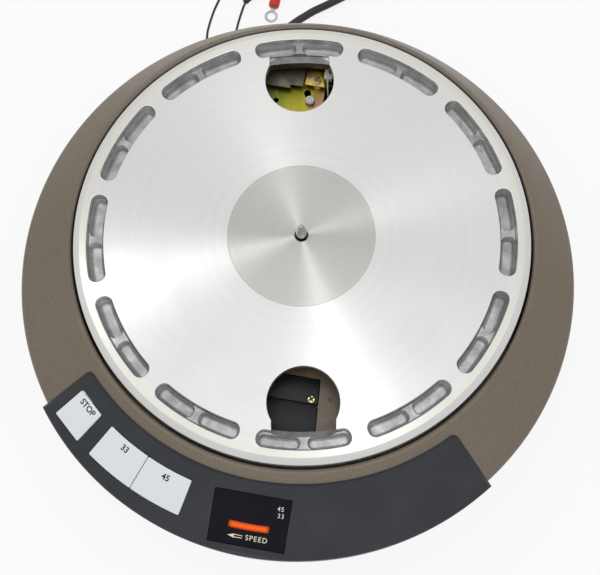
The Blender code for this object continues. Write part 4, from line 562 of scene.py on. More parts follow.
@dataclass(frozen=True)
class SpunAluminium:
    """Turned aluminium with fine circular grooves about the spindle."""

    colour: Colour = (0.77, 0.775, 0.76)
    roughness: float = 0.30
    anisotropy: float = 0.9
    groove: float = 0.00035
    cream_from: float = 0.0
    cream_to: float = 0.0

    def make(self, name: str) -> bpy.types.Material:
        """Builds the material."""
        nodes = Nodes(name)
        radius = nodes.radius()
        rings = nodes.add("ShaderNodeTexNoise", noise_dimensions="1D")
        rings.inputs["Scale"].default_value = 1 / self.groove
        rings.inputs["Detail"].default_value = 2
        nodes.link(radius, rings.inputs["W"])
        broad = nodes.add("ShaderNodeTexNoise", noise_dimensions="1D")
        broad.inputs["Scale"].default_value = 1 / (12 * self.groove)
        broad.inputs["Detail"].default_value = 4
        nodes.link(radius, broad.inputs["W"])
        cloud = nodes.noise(0.045, 4)
        fleck = nodes.noise(0.0035, 2)
        base = nodes.ramp(nodes.sum("ADD", nodes.sum("MULTIPLY", rings.outputs["Fac"], 0.5),
                                    nodes.sum("MULTIPLY", broad.outputs["Fac"], 0.5)),
                          [(0.3, tuple(c * 0.965 for c in self.colour)),
                           (0.7, tuple(min(1, c * 1.02) for c in self.colour))])
        dull = nodes.span(cloud, 0.35, 0.75, 0.0, 0.10)
        base = nodes.mix(dull, base, (0.62, 0.60, 0.56))
        specks = nodes.span(fleck, 0.80, 0.86, 0.0, 0.10)
        base = nodes.mix(specks, base, (0.50, 0.48, 0.44))
        if self.cream_to:
            inside = nodes.span(radius, self.cream_from - 0.0004, self.cream_from)
            outside = nodes.span(radius, self.cream_to, self.cream_to + 0.0004, 1, 0)
            band = nodes.sum("MULTIPLY", nodes.sum("MULTIPLY", inside, outside), 0.45)
            base = nodes.mix(band, base, (0.78, 0.74, 0.62))
        nodes.link(base, nodes.shader.inputs["Base Color"])
        rough = nodes.span(cloud, 0.3, 0.8, self.roughness - 0.03, self.roughness + 0.05)
        nodes.link(rough, nodes.shader.inputs["Roughness"])
        nodes.set(metallic=1.0, anisotropic=self.anisotropy, anisotropic_rotation=0.25)
        tangent = nodes.add("ShaderNodeTangent", direction_type="RADIAL", axis="Z")
        nodes.link(tangent.outputs["Tangent"], nodes.shader.inputs["Tangent"])
        nodes.bump(rings.outputs["Fac"], 0.000012, 0.35)
        return nodes.material


@dataclass(frozen=True)
class CastMetal:
    """Cast or plain metal with a fine grain and a cloudy surface."""

    colour: Colour = (0.42, 0.42, 0.42)
    dark: Colour = (0.20, 0.20, 0.20)
    roughness: float = 0.38
    grain: float = 0.0006
    depth: float = 0.00004

    def make(self, name: str) -> bpy.types.Material:
        """Builds the material."""
        nodes = Nodes(name)
        grain = nodes.noise(self.grain, 4)
        cloud = nodes.noise(0.009, 3)
        blend = nodes.sum("ADD", nodes.sum("MULTIPLY", grain, 0.35), nodes.sum("MULTIPLY", cloud, 0.65))
        nodes.link(nodes.ramp(blend, [(0.36, self.dark), (0.62, self.colour)]),
                   nodes.shader.inputs["Base Color"])
        nodes.link(nodes.span(cloud, 0.3, 0.7, self.roughness + 0.08, self.roughness - 0.06),
                   nodes.shader.inputs["Roughness"])
        nodes.set(metallic=1.0)
        nodes.bump(grain, self.depth)
        return nodes.material


@dataclass(frozen=True)
class FleckedPaint:
    """Metallic paint: fine flakes in a satin coat, slightly uneven."""

    colour: Colour = (0.185, 0.150, 0.112)
    flake: Colour = (0.25, 0.212, 0.168)
    roughness: float = 0.42
    metallic: float = 0.45
    texture: float = 0.00003

    def make(self, name: str) -> bpy.types.Material:
        """Builds the material."""
        nodes = Nodes(name)
        flakes = nodes.add("ShaderNodeTexVoronoi", feature="F1")
        flakes.inputs["Scale"].default_value = 1 / 0.00045
        nodes.link(nodes.place(), flakes.inputs["Vector"])
        grey = nodes.add("ShaderNodeRGBToBW")
        nodes.link(flakes.outputs["Color"], grey.inputs["Color"])
        cloud = nodes.noise(0.06, 4)
        shade = nodes.ramp(nodes.span(grey.outputs["Val"], 0.1, 0.95),
                           [(0.0, tuple(c * 0.86 for c in self.colour)), (0.72, self.colour),
                            (1.0, self.flake)])
        worn = nodes.mix(nodes.span(cloud, 0.35, 0.75, 0.0, 0.25), shade,
                         tuple(c * 0.84 for c in self.colour))
        nodes.link(worn, nodes.shader.inputs["Base Color"])
        nodes.link(nodes.span(cloud, 0.3, 0.7, self.roughness - 0.04, self.roughness + 0.06),
                   nodes.shader.inputs["Roughness"])
        nodes.set(metallic=self.metallic, coat_weight=0.15, coat_roughness=0.35)
        nodes.bump(nodes.noise(0.0011, 3), self.texture)
        return nodes.material


@dataclass(frozen=True)
class Moulded:
    """Moulded plastic, rubber or vinyl, which can carry a painted glow with painted shade round it."""

    colour: Colour
    roughness: float = 0.45
    grain: float = 0.0008
    depth: float = 0.00002
    dust: float = 0.06
    coat: float = 0.0
    # Strength of a painted glow: the part gives off its own colour, standing in for a lamp behind it.
    glow: float = 0.0
    shine: float = 0.5
    # Radius, half width and half length of the patch that shows the painted glow; outside it the colour is
    # darkened as painted shade.
    painted_glow_patch: tuple[float, ...] = ()

    def make(self, name: str) -> bpy.types.Material:
        """Builds the material."""
        nodes = Nodes(name)
        cloud = nodes.noise(0.03, 4)
        pale = tuple(min(1.0, c * 0.85 + 0.10) for c in self.colour)
        tone = nodes.mix(nodes.span(cloud, 0.4, 0.8, 0.0, self.dust), self.colour, pale)
        # Painted glow: emission in the part's own colour.
        if self.glow:
            nodes.set(emission_color=self.colour, emission_strength=self.glow)
        # Painted glow inside the patch, and painted shade outside it, towards the ends and sides of the slot.
        if self.painted_glow_patch:
            radius, half_width, half_length = self.painted_glow_patch
            across = nodes.sum("ABSOLUTE", nodes.sum("SUBTRACT", nodes.radius(), radius), 0.0)
            split = nodes.add("ShaderNodeSeparateXYZ")
            nodes.link(nodes.place(), split.inputs["Vector"])
            along = nodes.sum("ABSOLUTE", split.outputs["X"], 0.0)
            painted_glow_mask = nodes.sum("MULTIPLY", nodes.span(across, half_width * 0.2, half_width, 1, 0),
                            nodes.span(along, half_length * 0.8, half_length, 1, 0))
            nodes.link(nodes.mix(painted_glow_mask, (0.0, 0.0, 0.0), self.colour), nodes.shader.inputs["Emission Color"])
            tone = nodes.mix(painted_glow_mask, tuple(c * 0.16 for c in self.colour), tone)
        nodes.link(tone, nodes.shader.inputs["Base Color"])
        nodes.link(nodes.span(cloud, 0.3, 0.7, max(0.02, self.roughness - 0.04), self.roughness + 0.06),
                   nodes.shader.inputs["Roughness"])
        nodes.set(specular_ior_level=self.shine)
        if self.coat:
            nodes.set(coat_weight=self.coat, coat_roughness=0.06)
        nodes.bump(nodes.noise(self.grain, 3), self.depth)
        return nodes.material


@dataclass(frozen=True)
class ZincPlate:
    """Passivated zinc: a thin film that drifts between yellow, green and pink."""

    stops: tuple[tuple[float, Colour], ...] = (
        (0.26, (0.26, 0.34, 0.08)), (0.40, (0.50, 0.47, 0.04)), (0.50, (0.54, 0.44, 0.06)),
        (0.59, (0.60, 0.30, 0.25)), (0.72, (0.34, 0.25, 0.14)))
    roughness: float = 0.30
    patch: float = 0.022
    drift: float = 1.0

    def make(self, name: str) -> bpy.types.Material:
        """Builds the material."""
        nodes = Nodes(name)
        film = nodes.noise(self.patch, 2, roughness=0.45)
        if self.drift:
            across = nodes.add("ShaderNodeSeparateXYZ")
            nodes.link(nodes.place(), across.inputs["Vector"])
            slow = nodes.span(across.outputs["X"], -0.045, 0.025, 0.12, 0.65)
            film = nodes.sum("ADD", nodes.sum("MULTIPLY", film, 0.30), slow)
        scratch = nodes.noise(0.0015, 3, nodes.place((1, 0.12, 1)))
        colour = nodes.ramp(film, list(self.stops))
        colour = nodes.mix(nodes.span(scratch, 0.45, 0.7, 0.0, 0.12), colour, (0.45, 0.43, 0.30))
        nodes.link(colour, nodes.shader.inputs["Base Color"])
        nodes.link(nodes.span(scratch, 0.3, 0.7, self.roughness, self.roughness + 0.12),
                   nodes.shader.inputs["Roughness"])
        nodes.set(metallic=1.0)
        nodes.bump(scratch, 0.00001, 0.5)
        return nodes.material


@dataclass(frozen=True)
class WoundWire:
    """Enamelled wire wound round the spindle's axis, its colour darkened between the turns as painted shade in
    the grooves.
    """

    colour: Colour = (0.50, 0.19, 0.07)
    pitch: float = 0.0007

    def make(self, name: str) -> bpy.types.Material:
        """Builds the material."""
        nodes = Nodes(name)
        wires = nodes.add("ShaderNodeTexWave", wave_type="BANDS", bands_direction="Z")
        wires.inputs["Scale"].default_value = 0.314 / self.pitch
        wires.inputs["Distortion"].default_value = 0.6
        nodes.link(nodes.place(), wires.inputs["Vector"])
        # Painted shade: the colour drops to half in the grooves between turns.
        tone = nodes.mix(wires.outputs["Fac"], tuple(c * 0.5 for c in self.colour), self.colour)
        nodes.link(tone, nodes.shader.inputs["Base Color"])
        nodes.set(metallic=0.8, roughness=0.3)
        nodes.bump(wires.outputs["Fac"], 0.0002)
        return nodes.material


@dataclass(frozen=True)
class Laminations:
    """A stack of thin steel sheets."""

    colour: Colour = (0.30, 0.30, 0.31)
    pitch: float = 0.0005

    def make(self, name: str) -> bpy.types.Material:
        """Builds the material."""
        nodes = Nodes(name)
        sheets = nodes.add("ShaderNodeTexWave", wave_type="BANDS", bands_direction="Z")
        sheets.inputs["Scale"].default_value = 0.314 / self.pitch
        nodes.link(nodes.place(), sheets.inputs["Vector"])
        cloud = nodes.noise(0.01, 3)
        tone = nodes.mix(sheets.outputs["Fac"], tuple(c * 0.55 for c in self.colour), self.colour)
        nodes.link(nodes.mix(nodes.span(cloud, 0.5, 0.8, 0, 0.3), tone, (0.20, 0.13, 0.09)),
                   nodes.shader.inputs["Base Color"])
        nodes.set(metallic=0.85, roughness=0.45)
        nodes.bump(sheets.outputs["Fac"], 0.00008)
        return nodes.material


@dataclass(frozen=True)
class Floor:
    """A plain pale floor that shows white to the camera and keeps the shadow."""

    colour: Colour = (0.94, 0.94, 0.94)
    keep: float = 0.16

    def make(self, name: str) -> bpy.types.Material:
        """Builds the material."""
        nodes = Nodes(name)
        nodes.set(base_color=self.colour, roughness=0.9, specular_ior_level=0.1)
        ray = nodes.add("ShaderNodeLightPath")
        seen = nodes.sum("MAXIMUM", ray.outputs["Is Camera Ray"], ray.outputs["Is Glossy Ray"])
        glow = nodes.add("ShaderNodeEmission")
        glow.inputs["Strength"].default_value = 1.0
        blend = nodes.add("ShaderNodeMixShader")
        nodes.link(nodes.sum("MULTIPLY", seen, 1 - self.keep), blend.inputs[0])
        nodes.link(nodes.shader.outputs[0], blend.inputs[1])
        nodes.link(glow.outputs[0], blend.inputs[2])
        nodes.link(blend.outputs[0], nodes.tree.nodes["Material Output"].inputs["Surface"])
        return nodes.material


class Finish(Enum):
    """Every finish on the unit, and the record's slot that it belongs to."""

    RING = ("ring_paint", FleckedPaint())
    PANEL = ("panel_plastic", Moulded((0.019, 0.022, 0.028), 0.42, 0.0009, 0.00002, 0.12, shine=0.4))
    BUTTON = ("button_plastic", Moulded((0.74, 0.78, 0.80), 0.32, 0.0015, 0.000006, 0.05))
    WINDOW = ("window_plastic", Moulded((0.006, 0.005, 0.011), 0.10, 0.004, 0.000002, 0.03, shine=0.12))
    # The orange strip: a painted glow, standing in for the neon lamp behind it, with painted shade at its ends
    # and sides.
    ORANGE = ("orange_plastic", Moulded((0.85, 0.10, 0.004), 0.30, 0.002, 0.000004, 0.0, 0.0, 0.30, 0.2,
                                          (0.197, 0.0026, 0.0139)))
    LAMP = ("lamp_glass", Moulded((0.90, 0.55, 0.35), 0.1, 0.004, 0.000002, 0.0, 0.5))
    PLATTER = ("platter_aluminium", SpunAluminium(cream_from=0.1472, cream_to=0.1513))
    LABEL = ("platter_aluminium", SpunAluminium((0.55, 0.55, 0.535), 0.25, 0.93, 0.0003))
    POCKET = ("platter_aluminium", CastMetal((0.50, 0.50, 0.49), (0.29, 0.29, 0.295), 0.36))
    # Pocket walls: the pockets' cast metal made lighter on the faces that stand upright, painted light.
    POCKET_WALL_PAINTED_LIGHT = ("platter_aluminium", CastMetal((0.78, 0.78, 0.79), (0.54, 0.54, 0.545), 0.34))
    # Sloped lands: the same cast metal made darker where it slopes into the finger holes, painted shade.
    LAND_PAINTED_SHADE = ("platter_aluminium", CastMetal((0.23, 0.23, 0.225), (0.15, 0.15, 0.152), 0.42))
    # Finger holes' walls: the same cast metal made very dark, painted shade deep in the holes.
    HOLE_WALL_PAINTED_SHADE = ("platter_aluminium", CastMetal((0.12, 0.12, 0.115), (0.08, 0.08, 0.078), 0.5))
    PLATE = ("yellow_zinc", ZincPlate())
    BRACKET = ("yellow_zinc", ZincPlate(((0.3, (0.36, 0.27, 0.05)), (0.5, (0.46, 0.34, 0.06)),
                                         (0.6, (0.42, 0.26, 0.13)), (0.7, (0.38, 0.30, 0.07)),
                                         (0.8, (0.34, 0.29, 0.08))), 0.26, 0.012, 0.0))
    # Painted shade: a dark tone for the faces inside a screw's cross recess.
    RECESS_PAINTED_SHADE = ("yellow_zinc", CastMetal((0.12, 0.105, 0.05), (0.06, 0.05, 0.03), 0.5))
    GILT = ("yellow_zinc", CastMetal((0.95, 0.88, 0.52), (0.74, 0.64, 0.30), 0.18, 0.0012, 0.00001))
    WHITE_ZINC = ("white_zinc", CastMetal((0.66, 0.66, 0.66), (0.46, 0.46, 0.47), 0.28, 0.002, 0.00001))
    STEEL = ("bright_steel", CastMetal((0.50, 0.50, 0.505), (0.38, 0.38, 0.385), 0.14, 0.003, 0.000005))
    TURNED = ("turned_metal", SpunAluminium((0.62, 0.62, 0.62), 0.3, 0.6, 0.0004))
    MOTOR_STEEL = ("motor_steel", CastMetal((0.40, 0.40, 0.42), (0.26, 0.26, 0.28), 0.36, 0.001, 0.00002))
    LAMINATED = ("motor_steel", Laminations())
    DARK_PAINT = ("dark_paint", FleckedPaint((0.032, 0.033, 0.036), (0.07, 0.07, 0.075), 0.46, 0.2, 0.00005))
    SHIELD = ("dark_paint", CastMetal((0.19, 0.18, 0.135), (0.14, 0.132, 0.10), 0.5, 0.002, 0.00002))
    BRONZE = ("bronze", CastMetal((0.62, 0.36, 0.14), (0.42, 0.22, 0.08), 0.34, 0.001, 0.00002))
    COPPER = ("copper_wire", WoundWire())
    TAPE = ("winding_tape", Moulded((0.72, 0.58, 0.10), 0.3, 0.003, 0.00004, 0.1))
    BOARD = ("circuit_board", Moulded((0.15, 0.09, 0.035), 0.4, 0.0007, 0.00002, 0.15))
    NYLON = ("white_nylon", Moulded((0.78, 0.78, 0.74), 0.38, 0.002, 0.00001, 0.05))
    BLUE_SLEEVE = ("blue_sleeve", Moulded((0.02, 0.045, 0.15), 0.25, 0.003, 0.00001, 0.05))
    COVER = ("black_plastic", Moulded((0.008, 0.009, 0.013), 0.34, 0.0015, 0.000015, 0.10, shine=0.3))
    RUBBER = ("black_rubber", Moulded((0.020, 0.020, 0.022), 0.42, 0.0012, 0.00002, 0.12))
    RED = ("red_vinyl", Moulded((0.66, 0.022, 0.012), 0.3, 0.002, 0.00001, 0.03))
    INK = ("black_plastic", Moulded((0.012, 0.012, 0.014), 0.4, 0.002, 0.0, 0.0))
    PALE_INK = ("button_plastic", Moulded((0.76, 0.73, 0.56), 0.5, 0.002, 0.0, 0.0))

    @property
    def slot(self) -> str:
        """The record's material slot."""
        return self.value[0]

    def material(self) -> bpy.types.Material:
        """The finish's material, made once."""
        name = "finish_" + self.name.lower()
        return bpy.data.materials.get(name) or self.value[1].make(name)

    def dress(self, piece: bpy.types.Object, *more: "Finish") -> bpy.types.Object:
        """Puts the finish on a piece, with further finishes in its later slots.

        Args:
            piece: The piece.
            more: Finishes of the later slots.

        Returns:
            The same piece.
        """
        for finish in (self, *more):
            piece.data.materials.append(finish.material())
        return piece


def show(piece: bpy.types.Object, finish: Finish, body: Body, nodes: Sequence[str] = (),
         more: Sequence[Finish] = ()) -> bpy.types.Object:
    """Dresses a piece, seats it on its body and lets it stand for solids.

    Args:
        piece: The finished piece.
        finish: Its finish.
        body: The body it rides on.
        nodes: The solids that it stands for.
        more: Finishes of its later material slots.

    Returns:
        The same piece.
    """
    finish.dress(piece, *more)
    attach(piece, body.value)
    if nodes:
        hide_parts(*nodes)
    LOG.info("%s rides on %s", piece.name, body.value)
    return piece


@dataclass
class Studio:
    """The camera, the floor and the soft lights."""

    lens: float = 71.63
    look: tuple[float, float, float] = (0.00543, -0.03602, 0.124)
    azimuth: float = 13.3
    elevation: float = 74.16
    distance: float = 0.8037
    roll: float = -3.32
    world_level: float = 0.78
    floor_half: float = 6.0
    streaks: tuple[tuple[str, float, float, float], ...] = (
        ("lamp_side", 202.3, 0.42, 1.15), ("lamp_front", 297.8, 0.42, 1.05))
    strip: tuple[float, float, float] = (0.14, 1.0, 1.7)
    soft_box: tuple[float, float, float, float, float] = (283, 82, 1.9, 1.6, 3.5)

    def camera(self) -> None:
        """Stands the camera where the photograph was taken from."""
        az, el = math.radians(self.azimuth), math.radians(self.elevation)
        roll = math.radians(self.roll)
        back = Vector((math.sin(az) * math.cos(el), -math.cos(az) * math.cos(el), math.sin(el)))
        level = Vector((math.cos(az), math.sin(az), 0))
        upright = back.cross(level)
        right = math.cos(roll) * level + math.sin(roll) * upright
        up = back.cross(right)
        data = bpy.data.cameras.new("camera")
        data.lens = self.lens
        data.sensor_width = 36
        data.sensor_fit = "HORIZONTAL"
        data.clip_start = 0.01
        data.clip_end = 50
        shooter = bpy.data.objects.new("camera", data)
        bpy.context.scene.collection.objects.link(shooter)
        turn = Matrix((right, up, back)).transposed().to_4x4()
        shooter.matrix_world = Matrix.Translation(Vector(self.look) + back * self.distance) @ turn
        bpy.context.scene.camera = shooter

    def lamp(self, name: str, turn: Matrix, away: float, width: float, length: float,
             power: float) -> None:
        """Hangs one rectangular lamp that looks at the unit.

        Args:
            name: Its name.
            turn: Its turn; its upright axis points away from the unit.
            away: How far off it is.
            width: Its narrow side.
            length: Its long side.
            power: Its power in watts.
        """
        data = bpy.data.lights.new(name, "AREA")
        data.shape = "RECTANGLE"
        data.size = width
        data.size_y = length
        data.energy = power
        lamp = bpy.data.objects.new(name, data)
        bpy.context.scene.collection.objects.link(lamp)
        lamp.matrix_world = turn @ Matrix.Translation((0, 0, away))

    def lights(self) -> None:
        """Lights the unit softly, with two strips whose streaks on turned metal point where the photo's do."""
        eye = polar(math.cos(math.radians(self.elevation)), self.azimuth - 90)
        for name, streak, lean, power in self.streaks:
            along = polar(1, streak)
            flat = along * lean - eye
            out = Vector((flat.x, flat.y, math.sqrt(1 - flat.length_squared)))
            run = Vector((along.x, along.y, -flat.dot(along) / out.z)).normalized()
            turn = Matrix((run.cross(out), run, out)).transposed().to_4x4()
            width, length, away = self.strip
            self.lamp(name, turn, away, width, length, power)
        azimuth, elevation, away, side, power = self.soft_box
        flat = polar(math.cos(math.radians(elevation)), azimuth)
        out = Vector((flat.x, flat.y, math.sin(math.radians(elevation))))
        self.lamp("lamp_top", out.to_track_quat("Z", "Y").to_matrix().to_4x4(), away, side, side, power)

    def world(self) -> None:
        """Fills in from all round with white."""
        world = bpy.data.worlds.new("studio")
        bpy.context.scene.world = world
        world.use_nodes = True
        tree = world.node_tree
        sky = tree.nodes["Background"]
        sky.inputs["Color"].default_value = (1, 1, 1, 1)
        ray = tree.nodes.new("ShaderNodeLightPath")
        level = tree.nodes.new("ShaderNodeMapRange")
        level.inputs["To Min"].default_value = self.world_level
        level.inputs["To Max"].default_value = 1.0
        tree.links.new(ray.outputs["Is Camera Ray"], level.inputs["Value"])
        tree.links.new(level.outputs["Result"], sky.inputs["Strength"])

    def floor(self) -> None:
        """Lays the plain floor."""
        mould = Mould()
        bmesh.ops.create_grid(mould.mesh, x_segments=2, y_segments=2, size=self.floor_half)
        ground = mould.place(Matrix.Translation((0, 0, -0.0002))).done("floor")
        ground.data.materials.append(Floor().make("finish_floor"))

    def build(self) -> None:
        """Sets the studio up."""
        self.camera()
        self.floor()
        self.lights()
        self.world()
        bpy.context.scene.view_settings.view_transform = "Standard"


@dataclass
class Route:
    """Smooth lines for leads, as the solids' source draws them."""

    steps: int = 40

    def smooth(self, knots: Sequence[Vector], spacing: float) -> list[Vector]:
        """Evenly spaced points on a smooth curve, its first and last runs straight.

        Args:
            knots: Points that it goes through.
            spacing: Room between the points that come out.

        Returns:
            The points.
        """
        knots = [Vector(knot) for knot in knots]
        fine: list[Vector] = []
        for before, near, far, after in zip(knots, knots[1:], knots[2:], knots[3:]):
            for share in spread(0, 1, self.steps)[:-1]:
                fine.append(0.5 * (
                    2 * near + (far - before) * share
                    + (2 * before - 5 * near + 4 * far - after) * share ** 2
                    + (3 * near - before - 3 * far + after) * share ** 3))
        fine.append(knots[-2])
        travelled = [0.0]
        for near, far in zip(fine, fine[1:]):
            travelled.append(travelled[-1] + (far - near).length)
        count = max(2, round(travelled[-1] / spacing))
        picked: list[Vector] = []
        index = 0
        for wanted in spread(0, travelled[-1], count):
            while index < len(fine) - 2 and travelled[index + 1] < wanted:
                index += 1
            share = (wanted - travelled[index]) / (travelled[index + 1] - travelled[index])
            picked.append(fine[index].lerp(fine[index + 1], share))
        return knots[:1] + picked + knots[-1:]

    @staticmethod
    def length(points: Sequence[Vector]) -> float:
        """How long a run of points is."""
        return sum((far - near).length for near, far in zip(points, points[1:]))

    @staticmethod
    def lead(name: str, points: Sequence[Vector], diameter: float) -> bpy.types.Object:
        """A round lead along its points.

        Args:
            name: The piece's name.
            points: Its centreline.
            diameter: How thick it is.

        Returns:
            A curve object of one open spline.
        """
        curve = bpy.data.curves.new(name, "CURVE")
        curve.dimensions = "3D"
        curve.bevel_depth = diameter / 2
        curve.bevel_resolution = 6
        curve.use_fill_caps = True
        line = curve.splines.new("POLY")
        line.points.add(len(points) - 1)
        for slot, point in zip(line.points, points):
            slot.co = (*point, 1)
        piece = bpy.data.objects.new(name, curve)
        bpy.context.scene.collection.objects.link(piece)
        return piece


@dataclass
class MainsLead:
    """The strain relief, the mains lead with its stored coil, and the plug."""

    gap: float = 0.0003
    floor_gap: float = 0.0001
    diameter: float = 0.0065
    step_share: float = 2.2
    fine_spacing: float = 0.0045
    can_radius: float = 0.1465
    gland_angle: float = 112
    gland_height: float = 0.015
    flange_radius: float = 0.008
    neck_radius: float = 0.005
    flange_thickness: float = 0.003
    snout_radius: float = 0.0055
    snout_length: float = 0.018
    end_radius: float = 0.0039
    coil_centre: tuple[float, float] = (0.0014, 0.3305)
    coil_turns: int = 3
    coil_radius: float = 0.035
    coil_pitch: float = 0.0080
    coil_start: float = -37
    coil_points: int = 24
    climb_turns: float = 0.5
    plug_length: float = 0.036
    plug_half_width: float = 0.012
    plug_waist: float = 0.0052
    plug_neck: float = 0.012
    blade_spacing: float = 0.0127
    blade_length: float = 0.017
    blade_width: float = 0.0063
    blade_thickness: float = 0.0015
    blade_root: float = 0.004
    floor_route: tuple[tuple[float, float, float], ...] = (
        (-0.0690, 0.1760, 0.0085), (-0.0655, 0.1930, 0.0042), (-0.0565, 0.2100, 0.0034),
        (-0.0438, 0.2247, 0.0034), (-0.0300, 0.2374, 0.0034), (-0.0157, 0.2478, 0.0034),
        (0.0020, 0.2640, 0.0034), (0.0180, 0.2810, 0.0034))

    @property
    def gland_face(self) -> float:
        """How far from the spindle the strain relief's tip is."""
        return self.can_radius + self.flange_thickness + self.snout_length

    def coil(self) -> list[Vector]:
        """The stored coil: in on the lower layer, out again on the upper one, with straight ends."""
        outer = self.coil_radius + self.coil_pitch * self.coil_turns / 2
        inner = outer - self.coil_pitch * self.coil_turns
        low = self.diameter / 2 + self.floor_gap
        total = 2 * self.coil_turns + self.climb_turns
        points: list[Vector] = []
        for turns in spread(0, total, round(total * self.coil_points)):
            radius = outer - self.coil_pitch * turns
            share = 0.0
            if turns > self.coil_turns:
                share = min(1.0, (turns - self.coil_turns) / self.climb_turns)
                radius = inner + self.coil_pitch * max(0.0, turns - self.coil_turns - self.climb_turns)
            ease = share * share * (3 - 2 * share)
            flat = polar(radius, self.coil_start + 360 * turns)
            points.append(Vector((self.coil_centre[0] + flat.x, self.coil_centre[1] + flat.y,
                                  low + self.coil_pitch * ease)))
        first = (points[0] - points[1]).normalized() * self.diameter
        last = (points[-1] - points[-2]).normalized() * self.diameter
        return [points[0] + first, *points, points[-1] + last]

    def points(self) -> list[Vector]:
        """The whole lead's centreline, from the strain relief to the plug."""
        out = Vector((*polar(1, self.gland_angle), 0))
        face = Vector((*polar(self.gland_face + self.gap, self.gland_angle), self.gland_height))
        coil = self.coil()
        back = (coil[0] - coil[1]).normalized()
        end = coil[0] + back * self.gap
        knots = [face, face + out * self.diameter, *(Vector(point) for point in self.floor_route),
                 end + back * self.diameter, end]
        return [*Route().smooth(knots, self.step_share * self.diameter), *coil]

    def plug_frame(self) -> Matrix:
        """Where the plug stands at the end of the lead."""
        coil = self.coil()
        heading = (coil[-1] - coil[-2]).normalized()
        start = coil[-1] + heading * self.gap
        return Matrix.Translation(start) @ Matrix.Rotation(math.atan2(heading.y, heading.x), 4, "Z")

    def relief(self) -> bpy.types.Object:
        """The ribbed, tapered strain relief in the can's wall."""
        base = self.can_radius + self.gap
        seat = base + self.flange_thickness
        profile = [(0, base - 0.004), (self.neck_radius, base - 0.004), (self.neck_radius, base),
                   (self.flange_radius, base, 0.0004), (self.flange_radius, seat, 0.0008)]
        ribs = 6
        for rib in range(ribs):
            near = seat + self.snout_length * rib / ribs
            far = seat + self.snout_length * (rib + 0.62) / ribs
            end = seat + self.snout_length * (rib + 1) / ribs
            share = rib / (ribs - 1)
            radius = self.snout_radius + (self.end_radius - self.snout_radius) * share
            profile += [(radius, near, 0.0002), (radius, far, 0.0003)]
            if rib < ribs - 1:
                profile += [(radius - 0.0009, far), (radius - 0.0009, end)]
        profile += [(self.end_radius, self.gland_face, 0.0003), (0, self.gland_face)]
        lay = (Matrix.Translation((0, 0, self.gland_height))
               @ Matrix.Rotation(math.radians(self.gland_angle), 4, "Z")
               @ Matrix.Rotation(math.radians(90), 4, "Y"))
        return Mould().lathe(profile, 48).place(lay).done("strain_relief")

    def plug(self) -> bpy.types.Object:
        """The moulded plug: a ribbed neck that swells into a grip."""
        mould = Mould()
        half = self.diameter / 2 + self.coil_pitch
        face = mould.face([(-self.plug_waist, -self.plug_waist), (self.plug_waist, -self.plug_waist),
                           (self.plug_waist, self.plug_waist), (-self.plug_waist, self.plug_waist)], 0)
        stages = ((0.2, 1.0, 1.0), (0.02, 0.8, 0.8), (0.12, 0.8, 0.8), (0.02, 1.0, 1.0),
                  (0.22, 1.0, 1.0), (0.24, self.plug_half_width / self.plug_waist, half / self.plug_waist),
                  (0.18, self.plug_half_width / self.plug_waist, half / self.plug_waist))
        was = (1.0, 1.0)
        total = sum(stage[0] for stage in stages)
        for run, across, tall in stages:
            face = mould.raise_face(face, self.plug_length * run / total)
            grow = Matrix.Diagonal((tall / was[1], across / was[0], 1, 1))
            bmesh.ops.transform(mould.mesh, matrix=grow, verts=face.verts)
            was = (across, tall)
        mould.place(Matrix.Rotation(math.radians(90), 4, "Y"))
        mould.soften_sharp(0.0014, 4, 20)
        return mould.place(self.plug_frame()).done("moulded_plug", 50)

    def blade(self, side: int) -> bpy.types.Object:
        """One flat blade of the plug, with its hole and chamfered tip.

        Args:
            side: -1 or 1.

        Returns:
            The blade.
        """
        mould = Mould()
        half = self.blade_width / 2
        tip = self.plug_length + self.blade_length
        face = mould.face([(self.plug_length - self.blade_root, -half), (tip, -half), (tip, half),
                           (self.plug_length - self.blade_root, half)], -self.blade_thickness / 2)
        mould.round_corners([v for v in face.verts if v.co.x > self.plug_length], 0.0012, 4)
        face = max(mould.mesh.faces, key=lambda item: item.calc_area())
        mould.raise_face(face, self.blade_thickness)
        mould.soften_sharp(0.0002, 2, 60)
        piece = mould.done(f"plug_blade_{'left' if side < 0 else 'right'}")
        hole = Mould().lathe([(0, -0.004), (0.0015, -0.004), (0.0015, 0.004), (0, 0.004)], 24,
                             (tip - 0.004, 0)).done("blade_hole")
        combine(piece, [hole], Way.CUT)
        turn = (self.plug_frame() @ Matrix.Translation((0, side * self.blade_spacing / 2, 0))
                @ Matrix.Rotation(math.radians(90), 4, "X"))
        piece.data.transform(turn)
        return piece

    def build(self) -> None:
        """Makes and seats the lead's pieces."""
        points = self.points()
        lead = Route.lead("mains_lead", points, self.diameter)
        show(lead, Finish.RUBBER, Body.BASE, ["mains_cord", "mains_coil"])
        show(self.relief(), Finish.RUBBER, Body.BASE, ["mains_gland"])
        plug = show(self.plug(), Finish.RUBBER, Body.BASE, ["mains_plug"])
        blades = [show(self.blade(side), Finish.STEEL, Body.BASE) for side in (-1, 1)]
        Route.length(points)
        LOG.info("mains lead is %.3f m long", Route.length(points))


